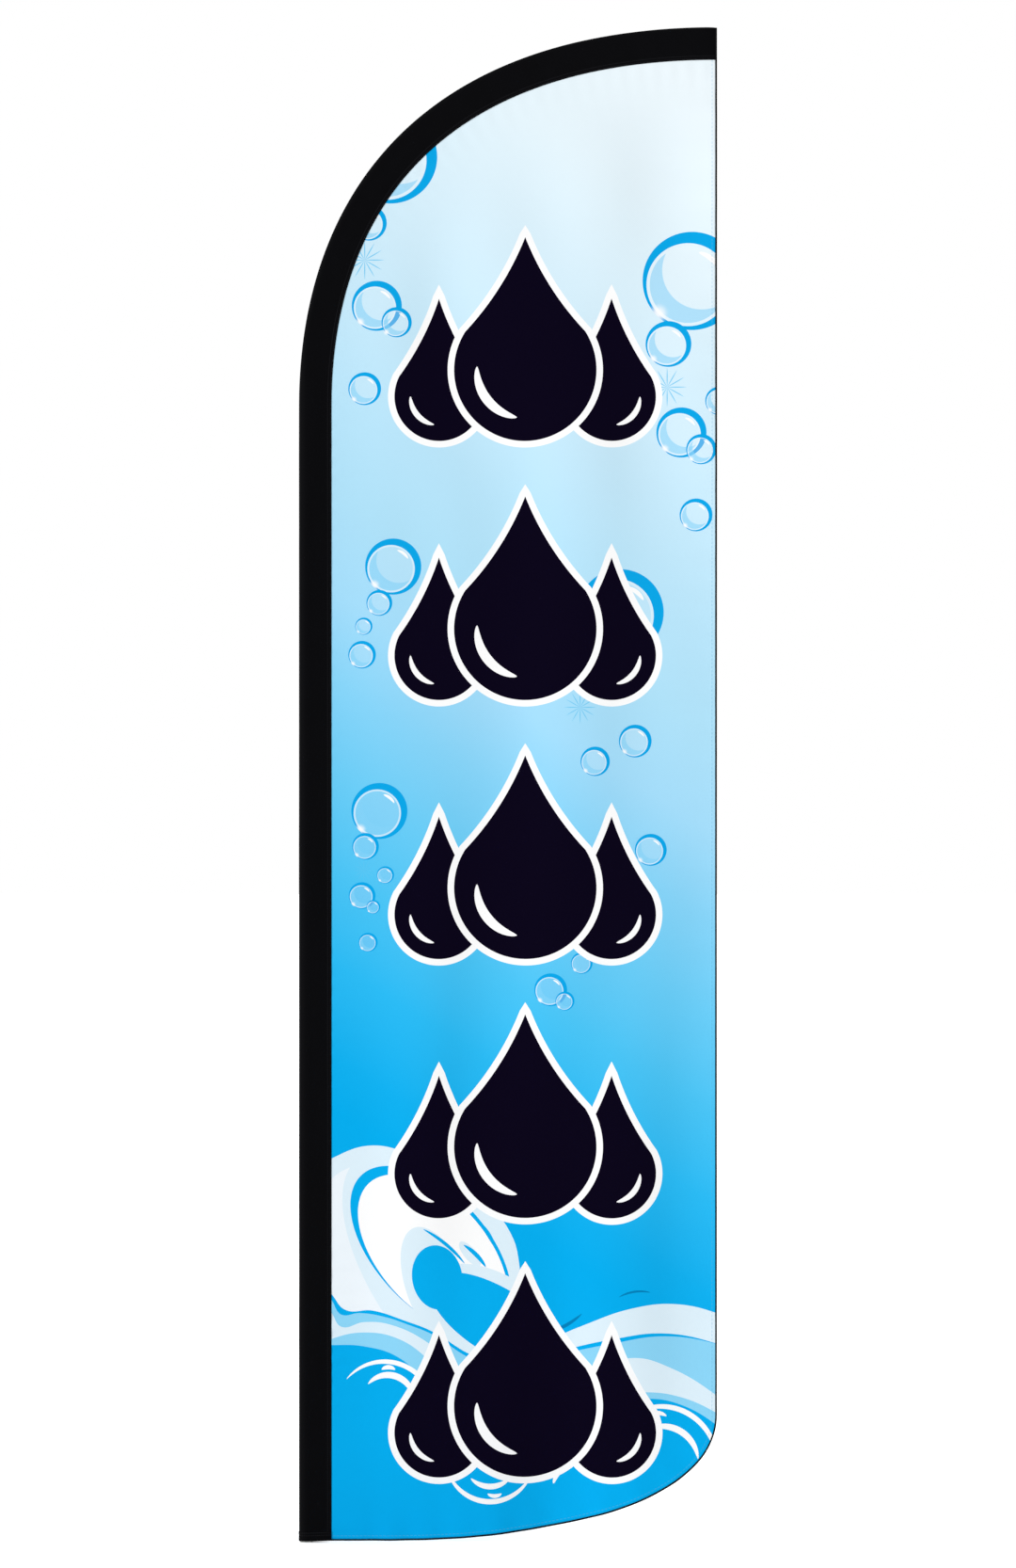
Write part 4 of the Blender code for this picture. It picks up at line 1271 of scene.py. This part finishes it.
@dataclass(frozen=True)
class HardFinish:
    """The finish of a metal, plastic or rubber piece."""

    name: str
    code: str
    surface: Surface
    roughness: float
    metallic: float = 0.0
    specular: float = 0.5

    def material(self) -> bpy.types.Material:
        """Makes the finish, with its grain and a slight change of gloss where hands wear it.

        Returns:
            The material.
        """
        graph = Graph(self.name)
        stretch, grain_mm, height = self.surface.value
        where = graph.add("ShaderNodeTexCoord", {}, out="Object")
        scaled = graph.add("ShaderNodeMapping", {"Vector": where, "Scale": (1.0, 1.0, stretch)})
        grain = {"Vector": scaled, "Scale": 1 / (grain_mm * MM), "Detail": 3.0}
        grain = graph.add("ShaderNodeTexNoise", grain)
        graph.feed("Normal", graph.add(BUMP, {"Height": grain, "Distance": height, "Strength": 0.5}))
        wear = graph.add("ShaderNodeTexNoise", {"Vector": where, "Scale": 22.0, "Detail": 4.0})
        gloss = {"Value": wear, "To Min": self.roughness - 0.07, "To Max": self.roughness + 0.09}
        graph.feed("Roughness", graph.add("ShaderNodeMapRange", gloss))
        light = linear(self.code)
        dark = tuple(0.82 * part for part in light[:3]) + (1.0,)
        graph.feed("Base Color", graph.add(MIX, {0: wear, 6: light, 7: dark}, out=2, data_type="RGBA"))
        graph.set(Metallic=self.metallic)
        if self.metallic < 1:
            graph.set(Specular_IOR_Level=self.specular)
        return graph.material


@dataclass
class Panel:
    """The printed panel: one ply of cloth from the sleeve's seam to the taped edge."""

    cut: FlagCut
    hang: Hang
    thickness: float = 0.0006
    columns: int = 100
    rows: int = 400
    bow_share: float = 0.42  # how much of the bow's seam counts as the panel's side and not its top
    strips: int = 4  # pieces that the map for the finished colours is cut into
    outside: float = field(default=0.0, init=False)

    def flat(self, across: np.ndarray, up: np.ndarray) -> np.ndarray:
        """Lays a unit square out on the flat cut, so that its sides follow the cut's four sides.

        Args:
            across: Each place's share of the way across.
            up: Its share of the way up.

        Returns:
            Places on the cut as (x, z).
        """
        seam, hem = self.cut.tuck, self.cut.hem
        bow = seam.total - self.cut.bow_start
        turn = self.cut.bow_start + self.bow_share * bow
        low = hem.at(across * hem.total)
        high = seam.at(turn + across * (seam.total - turn))
        near = seam.at(up * turn)
        ends = (hem.points[-1], seam.points[-1])
        far = ends[0] + up[:, None] * (ends[1] - ends[0])
        a, b = across[:, None], up[:, None]
        corners = (1 - a) * (1 - b) * hem.points[0] + a * (1 - b) * ends[0]
        corners = corners + (1 - a) * b * seam.at(np.array([turn])) + a * b * ends[1]
        return (1 - b) * low + b * high + (1 - a) * near + a * far - corners

    def free_stations(self) -> np.ndarray:
        """Lists where the panel's points on its free edge lie.

        Returns:
            How far along that edge each of them is.
        """
        hem = self.cut.hem.total
        low = hem * np.arange(self.columns + 1) / self.columns
        fly = (self.cut.free.total - hem) * np.arange(1, self.rows + 1) / self.rows
        return np.concatenate([low, hem + fly])

    def build(self) -> bpy.types.Object:
        """Makes the panel, with its maps and its thickness.

        Returns:
            The piece.
        """
        deselect()
        bpy.ops.mesh.primitive_grid_add(x_subdivisions=self.columns, y_subdivisions=self.rows, size=1.0)
        piece = bpy.context.active_object
        piece.name = "printed_panel"
        mesh = piece.data
        LOG.info("panel grid: %d points", len(mesh.vertices))
        square = np.empty(len(mesh.vertices) * 3, dtype=np.float32)
        mesh.vertices.foreach_get("co", square)
        square = square.reshape(-1, 3).astype(float) + 0.5
        places = self.flat(square[:, 0], square[:, 1])
        off = self.hang.stand_off(places)
        hung = np.column_stack([places[:, 0], off, places[:, 1]])
        mesh.vertices.foreach_set("co", hung.astype(np.float32).ravel())
        mesh.update()
        for layer in list(mesh.uv_layers):
            mesh.uv_layers.remove(layer)
        origin = np.array([self.cut.left, self.cut.bottom])
        lay_map(piece, "flat_cut", (places - origin) / UV_SPAN)
        runs, depths = self.cut.free.nearest(places)
        lay_map(piece, "hem_run", np.column_stack([runs, np.maximum(depths, 0)]) / RUN_SPAN)
        self.lay_strips(piece, places, square[:, 1])
        self.outside = sum(polygon.area for polygon in mesh.polygons)
        thicken(piece, self.thickness)
        return piece

    def lay_strips(self, piece: bpy.types.Object, places: np.ndarray, up: np.ndarray) -> None:
        """Cuts the tall cloth into strips and packs them into a square, so that colours stay sharp.

        Args:
            piece: The panel.
            places: Its points' places on the flat cut as (x, z), one to a row.
            up: Their shares of the way up.
        """
        mesh = piece.data
        corners = np.empty(len(mesh.loops), dtype=np.int32)
        mesh.loops.foreach_get("vertex_index", corners)
        rows = up[corners].reshape(-1, 4).mean(axis=1)
        strip = np.minimum((rows * self.strips).astype(int), self.strips - 1).repeat(4)
        laid = places[corners]
        spans = [laid[strip == i] for i in range(self.strips)]
        widest = max((span.max(axis=0) - span.min(axis=0)).max() for span in spans)
        side = int(math.ceil(math.sqrt(self.strips)))
        room = 0.985 / side
        for i, span in enumerate(spans):
            column, row = i % side, i // side
            spot = (np.array([column, row]) + 0.01) / side
            laid[strip == i] = spot + (span - span.min(axis=0)) * room / widest
        layer = mesh.uv_layers.new(name="OFBake")
        layer.data.foreach_set("uv", laid.astype(np.float32).ravel())


@dataclass
class Sleeve:
    """The black sleeve: a strip of cloth folded round the mast and sewn to both faces of the panel."""

    cut: FlagCut
    ply: float = 0.0007
    bow_radius: float = 0.0100
    narrowing: float = 0.160
    closure: float = 0.030
    seam_gap: float = 0.0008  # from the panel's middle to the middle of a ply, at the seam
    spacing: float = 0.0085
    around: int = 46
    crease: float = 0.0011
    bow_crease: float = 0.0019
    band_height: float = 0.022

    @property
    def mast_radius(self) -> float:
        """The radius of the cloth's middle where it goes round the mast."""
        low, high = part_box("mouth_binding")
        return (high.y - low.y) / 2 - self.ply / 2

    def radius(self, length: float) -> float:
        """Finds the radius of the sleeve's round side.

        Args:
            length: How far along its outer edge.

        Returns:
            The radius there, which narrows over the rod and closes at the free corner.
        """
        wide = self.mast_radius
        slim = float(eased(np.array([(length - self.cut.bow_start) / self.narrowing]))[0])
        radius = wide + slim * (self.bow_radius - wide)
        end = self.cut.edge.total - self.closure
        shut = float(eased(np.array([(length - end) / self.closure]))[0])
        return radius + shut * (self.seam_gap - radius)

    def section(self, radius: float, grow: float = 0.0) -> tuple[np.ndarray, np.ndarray]:
        """Draws the sleeve's section: flat plies that close on the seam, and a round side.

        Args:
            radius: The round side's radius.
            grow: How far the section is moved outwards.

        Returns:
            Its points as (depth inside the edge, y), evenly spaced from the front seam round to the
            back one, and its outward directions.
        """
        run = self.cut.sleeve_width - radius
        lean = math.atan2(radius - self.seam_gap, run)
        angles = np.linspace(-math.pi / 2 - lean, math.pi / 2 + lean, 41)
        arc = np.column_stack([radius - radius * np.cos(angles), radius * np.sin(angles)])
        seam = self.cut.sleeve_width
        line = Path(np.vstack([[seam, -self.seam_gap], arc, [seam, self.seam_gap]]), 1)
        lengths = np.linspace(0, line.total, self.around)
        outward = -line.inward(lengths)
        return line.at(lengths) + grow * outward, outward

    def ring(self, length: float, section: np.ndarray) -> np.ndarray:
        """Stands a section up on the outer edge.

        Args:
            length: How far along the edge.
            section: Its points as (depth inside the edge, y).

        Returns:
            Its points as (x, y, z).
        """
        at = np.array([length])
        foot, inward = self.cut.edge.at(at)[0], self.cut.edge.inward(at)[0]
        flat = foot + section[:, :1] * inward
        return np.column_stack([flat[:, 0], section[:, 1], flat[:, 1]])

    def creases(self, length: float, section: np.ndarray) -> np.ndarray:
        """Finds how far the cloth stands out at each point of a section.

        Args:
            length: The section's place along the outer edge.
            section: Its points.

        Returns:
            One distance for each point.
        """
        bow = min(max((length - self.cut.bow_start) / 0.25, 0.0), 1.0)
        out = np.empty(len(section))
        for i, (depth, side) in enumerate(section):
            face = 1.7 if side > 0 else -1.7
            soft = noise.noise(Vector((5.0 * length, 34.0 * depth, face)))
            pull = noise.noise(Vector((30.0 * length, 11.0 * depth, 2.3 * face)))
            inner = min(max((depth - 0.012) / 0.020, 0.0), 1.0)
            seam = min((self.cut.sleeve_width - depth) / 0.012, 1.0)
            gather = math.sin(TURN * length / 0.036 + 4 * soft) * max(depth - 0.040, 0.0) / 0.035
            amount = self.crease * (soft + 0.6 * gather) + self.bow_crease * bow * pull
            out[i] = amount * inner * seam + 0.0004 * max(soft, 0.0)
        return out

    def build(self) -> bpy.types.Object:
        """Makes the sleeve.

        Returns:
            The piece.
        """
        stations = np.linspace(0.0, self.cut.edge.total, int(self.cut.edge.total / self.spacing))
        rings = []
        sewn = []
        for length in stations:
            section, out = self.section(self.radius(length))
            fade = min((self.cut.edge.total - length) / self.closure, 1.0)
            stand = self.creases(length, section) * fade
            rings.append(self.ring(length, section + stand[:, None] * out))
            from_seam = self.cut.sleeve_width - section[:, 0]
            sewn.append(np.column_stack([np.full(self.around, length), from_seam]))
        piece = lofted("pole_sleeve_cloth", np.array(rings), loop=False)
        lay_map(piece, SEWN, np.vstack(sewn) / RUN_SPAN)
        thicken(piece, self.ply)
        return piece

    def build_band(self) -> bpy.types.Object:
        """Makes the doubled band: the sleeve's end turned up round its mouth and stitched.

        Returns:
            The piece.
        """
        low, top = 0.0007, self.band_height
        inside, outside = -0.0005, 0.0009
        turn = ((0.004, inside), (low, inside), (0.0, -0.0002), (0.0, 0.0004), (low, outside))
        shares = (0.2, 0.4, 0.6, 0.8, 0.97)
        face = tuple((top * share, outside + 0.0002 * math.sin(9 * share)) for share in shares)
        rings = []
        sewn = []
        for length, grow in turn + face + ((top, 0.0004),):
            section, _ = self.section(self.mast_radius, grow)
            ring = self.ring(0.0, section)
            ring[:, 2] = self.cut.bottom + length
            rings.append(ring)
            steps = np.linalg.norm(np.diff(section, axis=0), axis=1)
            round_it = np.append(0.0, np.cumsum(steps))
            sewn.append(np.column_stack([round_it, np.full(self.around, top - length)]))
        piece = lofted("sleeve_mouth_band", np.array(rings), loop=False)
        lay_map(piece, SEWN, np.vstack(sewn) / RUN_SPAN)
        thicken(piece, 0.0004)
        return piece


@dataclass
class EdgeTape:
    """The black tape folded over the panel's free edge, and over the sleeve's closed end."""

    cut: FlagCut
    hang: Hang
    panel: Panel
    width: float = 0.0036
    over: float = 0.0004  # how far the fold stands out past the panel's own edge
    half: float = 0.0011  # half of its thickness with the panel in it
    half_at_sleeve: float = 0.0018
    closing_steps: int = 8  # up the sleeve's closed end

    def build(self) -> bpy.types.Object:
        """Makes the tape as one closed strip, with the panel's own stations so that it lies along it.

        Returns:
            The piece.
        """
        free = self.cut.free
        start = self.cut.seam.points[0, 0] - self.cut.tuck.points[0, 0]
        along = self.panel.free_stations()
        along = np.concatenate([[start - MM], along[along > start]])
        count = len(along)
        points, sides = free.at(along), free.inward(along)
        close = np.linspace(free.points[-1, 1], self.cut.top - MM, self.closing_steps + 1)[1:]
        points = np.vstack([points, np.column_stack([np.full(self.closing_steps, self.cut.right), close])])
        sides = np.vstack([sides, np.tile(sides[-1], (self.closing_steps, 1))])
        level = np.zeros(self.closing_steps)
        off = np.concatenate([self.hang.stand_off(points[:count]), level])
        inner = points[:count] + self.width * sides[:count]
        rise = np.concatenate([self.hang.stand_off(inner), level]) - off
        halves = np.full(len(points), self.half)
        halves[count - 1 :] = self.half_at_sleeve
        steps = np.array([[1, -1], [0.25, -1], [0.06, -0.6], [0, 0], [0.06, 0.6], [0.25, 1], [1, 1]])
        run = np.append(0.0, np.cumsum(np.linalg.norm(np.diff(points, axis=0), axis=1)))
        sewn = [np.column_stack([np.full(len(steps), at), (1 - steps[:, 0]) * self.width]) for at in run]
        rings = []
        for point, side, lift, lean, half in zip(points, sides, off, rise, halves):
            laid = point + (steps[:, :1] * (self.width + self.over) - self.over) * side
            depth = lift + steps[:, 0] * lean + steps[:, 1] * half
            rings.append(np.column_stack([laid[:, 0], depth, laid[:, 1]]))
        piece = lofted("free_edge_tape", np.array(rings), loop=True)
        lay_map(piece, SEWN, np.vstack(sewn) / RUN_SPAN)
        choose(piece)
        bpy.ops.object.mode_set(mode="EDIT")
        bpy.ops.mesh.select_all(action="SELECT")
        bpy.ops.mesh.normals_make_consistent(inside=False)
        bpy.ops.object.mode_set(mode="OBJECT")
        bpy.ops.object.shade_smooth_by_angle(angle=math.radians(50))
        return piece


@dataclass
class Cloth:
    """The flag's cloth: the panel, the sleeve, its band and the edge tape."""

    cut: FlagCut
    hang: Hang
    body: str = "flag"

    def carry(self, piece: bpy.types.Object, material: bpy.types.Material, slot: str, *nodes: str) -> None:
        """Dresses a piece, has it ride on the flag and puts it in the place of its plain nodes.

        Args:
            piece: The piece.
            material: Its material.
            slot: The frame's name for that material; not used.
            *nodes: The plain nodes that it replaces.
        """
        piece.data.materials.clear()
        piece.data.materials.append(material)
        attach(piece, self.body)
        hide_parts(*nodes)
        LOG.info("%s: %d faces", piece.name, len(piece.data.polygons))

    def build(self) -> None:
        """Makes and dresses every sheet."""
        panel = Panel(self.cut, self.hang)
        printed = panel.build()
        self.carry(printed, PrintedKnit().material(WaterPrint()), "printed_polyester", "flag_panel")
        taffeta = BlackCloth("black_polyester_taffeta", Weave.TAFFETA, rows_mm=(3.0, 9.0)).material()
        sleeve = Sleeve(self.cut)
        tube = sleeve.build()
        self.carry(tube, taffeta, "black_polyester", "pole_sleeve")
        band = sleeve.build_band()
        self.carry(band, taffeta, "black_polyester", "mouth_binding")
        tape = EdgeTape(self.cut, self.hang, panel).build()
        woven = BlackCloth("black_binding_tape", Weave.TAPE, code="#060607", rows_mm=(1.2,)).material()
        self.carry(tape, woven, "black_polyester", "edge_binding")


@dataclass
class Hardware:
    """The mast, hub and spindle: the designed pieces with softened edges and real finishes."""

    edge_radius: float = 0.0003
    finishes: dict[str, HardFinish] = field(
        default_factory=lambda: {
            # a satin grey shine, with the faint lines along the tube that drawing leaves
            "anodised_aluminium": HardFinish("anodised_aluminium", "#b9bcc0", Surface.DRAWN, 0.34, 1.0),
            # a brighter, slightly warm shine, with the fine rings that turning leaves
            "zinc_plated_steel": HardFinish("zinc_plated_steel", "#b4b6b3", Surface.TURNED, 0.30, 1.0),
            # half matt, with the faint pebble of the mould
            "black_nylon": HardFinish("moulded_black_nylon", "#1a1a1b", Surface.MOULDED, 0.48, 0.0, 0.4),
            # dull all over, and a little dusty
            "black_rubber": HardFinish("black_rubber", "#161616", Surface.MOULDED, 0.80, 0.0, 0.25),
            # resin gloss over the slow ripple of wound fibres
            "black_fibreglass": HardFinish("wound_black_fibreglass", "#1c1c1f", Surface.WOUND, 0.28),
        }
    )

    def refine(self, name: str, node: bpy.types.Object, material: bpy.types.Material) -> None:
        """Makes a finished copy of a designed piece, with its edges softened.

        Args:
            name: The designed piece's name.
            node: The designed piece.
            material: Its finish.
        """
        piece = node.copy()
        piece.data = node.data.copy()
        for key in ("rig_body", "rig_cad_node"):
            if key in piece:
                del piece[key]
        piece.parent = None
        piece.name = f"{name}_finished"
        bpy.context.scene.collection.objects.link(piece)
        choose(piece)
        bpy.ops.object.mode_set(mode="EDIT")
        bpy.ops.mesh.select_all(action="SELECT")
        bpy.ops.mesh.remove_doubles(threshold=1e-6)
        bpy.ops.mesh.tris_convert_to_quads(face_threshold=0.02, shape_threshold=3.0)
        bpy.ops.object.mode_set(mode="OBJECT")
        soft = piece.modifiers.new("soft_edges", "BEVEL")
        soft.width = self.edge_radius
        soft.segments = 2
        soft.limit_method = "ANGLE"
        soft.angle_limit = math.radians(40)
        apply_modifiers(piece)
        bpy.ops.object.shade_smooth_by_angle(angle=math.radians(35))
        piece.data.materials.clear()
        piece.data.materials.append(material)
        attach(piece, node["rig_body"])
        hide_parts(name)
        LOG.info("%s: %d faces", piece.name, len(piece.data.polygons))

    def build(self, frame: Mapping) -> None:
        """Dresses every designed piece of the mast, hub and spindle.
        """
        slots = {row["node"]: row["material_slot"] for row in frame["record"]["subparts"]}
        materials = {slot: finish.material() for slot, finish in self.finishes.items()}
        for name, node in sorted(frame["nodes"].items()):
            if slots[name] in materials:
                self.refine(name, node, materials[slots[name]])
        strap = frame["nodes"]["tip_pocket_strap"]
        strap.data.materials.clear()
        strap.data.materials.append(BlackCloth("black_webbing", Weave.WEBBING).material())


@dataclass
class Studio:
    """A white floor under even white light, with a soft key light from the left."""

    cut: FlagCut
    lens_mm: float = 135.0
    sensor_mm: float = 36.0
    view_height: float = 3.632
    floor_size: float = 160.0

    def floor(self) -> None:
        """Lays the floor."""
        deselect()
        bpy.ops.mesh.primitive_plane_add(size=self.floor_size, location=(0, 0, 0))
        piece = bpy.context.active_object
        piece.name = "studio_floor"
        graph = Graph("white_studio_floor")
        where = graph.add("ShaderNodeTexCoord", {}, out="Object")
        cloud = graph.add("ShaderNodeTexNoise", {"Vector": where, "Scale": 0.4})
        dull = graph.add("ShaderNodeMapRange", {"Value": cloud, "To Min": 0.85, "To Max": 0.95})
        graph.feed("Roughness", dull)
        graph.set(Base_Color=linear("#fbfbfb"), Specular_IOR_Level=0.0)
        graph.set(Emission_Color=linear("#ffffff"), Emission_Strength=0.20)
        piece.data.materials.append(graph.material)

    def world(self) -> None:
        """Surrounds the flag with even white light."""
        world = bpy.data.worlds.new("studio_white")
        bpy.context.scene.world = world
        world.use_nodes = True
        background = world.node_tree.nodes["Background"]
        background.inputs["Color"].default_value = linear("#ffffff")
        background.inputs["Strength"].default_value = 1.0

    def sun(self, name: str, aim: Vector, strength: float, softness: float) -> None:
        """Adds an even light.

        Args:
            name: Its name.
            aim: The way that its light travels.
            strength: Its strength in watts to the square metre.
            softness: How wide it looks, in degrees.
        """
        lamp = bpy.data.lights.new(name, "SUN")
        lamp.energy = strength
        lamp.angle = math.radians(softness)
        light = bpy.data.objects.new(name, lamp)
        light.rotation_euler = aim.to_track_quat("-Z", "Y").to_euler()
        bpy.context.scene.collection.objects.link(light)

    def camera(self) -> None:
        """Sets the camera square to the flag, with the flag in the middle of the view."""
        lens = bpy.data.cameras.new("camera")
        lens.lens = self.lens_mm
        lens.sensor_width = self.sensor_mm
        lens.clip_end = 500.0
        camera = bpy.data.objects.new("camera", lens)
        away = self.view_height * self.lens_mm / self.sensor_mm
        middle = (self.cut.left + self.cut.right) / 2
        camera.location = (middle, -away, (self.cut.bottom + self.cut.top) / 2)
        camera.rotation_euler = (math.pi / 2, 0, 0)
        bpy.context.scene.collection.objects.link(camera)
        bpy.context.scene.camera = camera

    def build(self) -> None:
        """Sets up the floor, the lights, the camera and how colours are shown."""
        self.floor()
        self.world()
        self.sun("key", Vector((0.86, 0.46, -0.40)), 2.0, 12)
        self.sun("back", Vector((-0.80, -0.50, -0.45)), 1.4, 16)
        self.camera()
        settings = bpy.context.scene.view_settings
        settings.view_transform = "Standard"
        settings.look = "None"


def main() -> None:
    """Builds the flag's looks round the frame."""
    logging.basicConfig(level=logging.INFO, format="%(name)s: %(message)s")
    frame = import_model()
    cut = FlagCut()
    hang = Hang(cut)
    Cloth(cut, hang).build()
    Hardware().build(frame)
    Studio(cut).build()


if __name__ == "__main__":
    main()
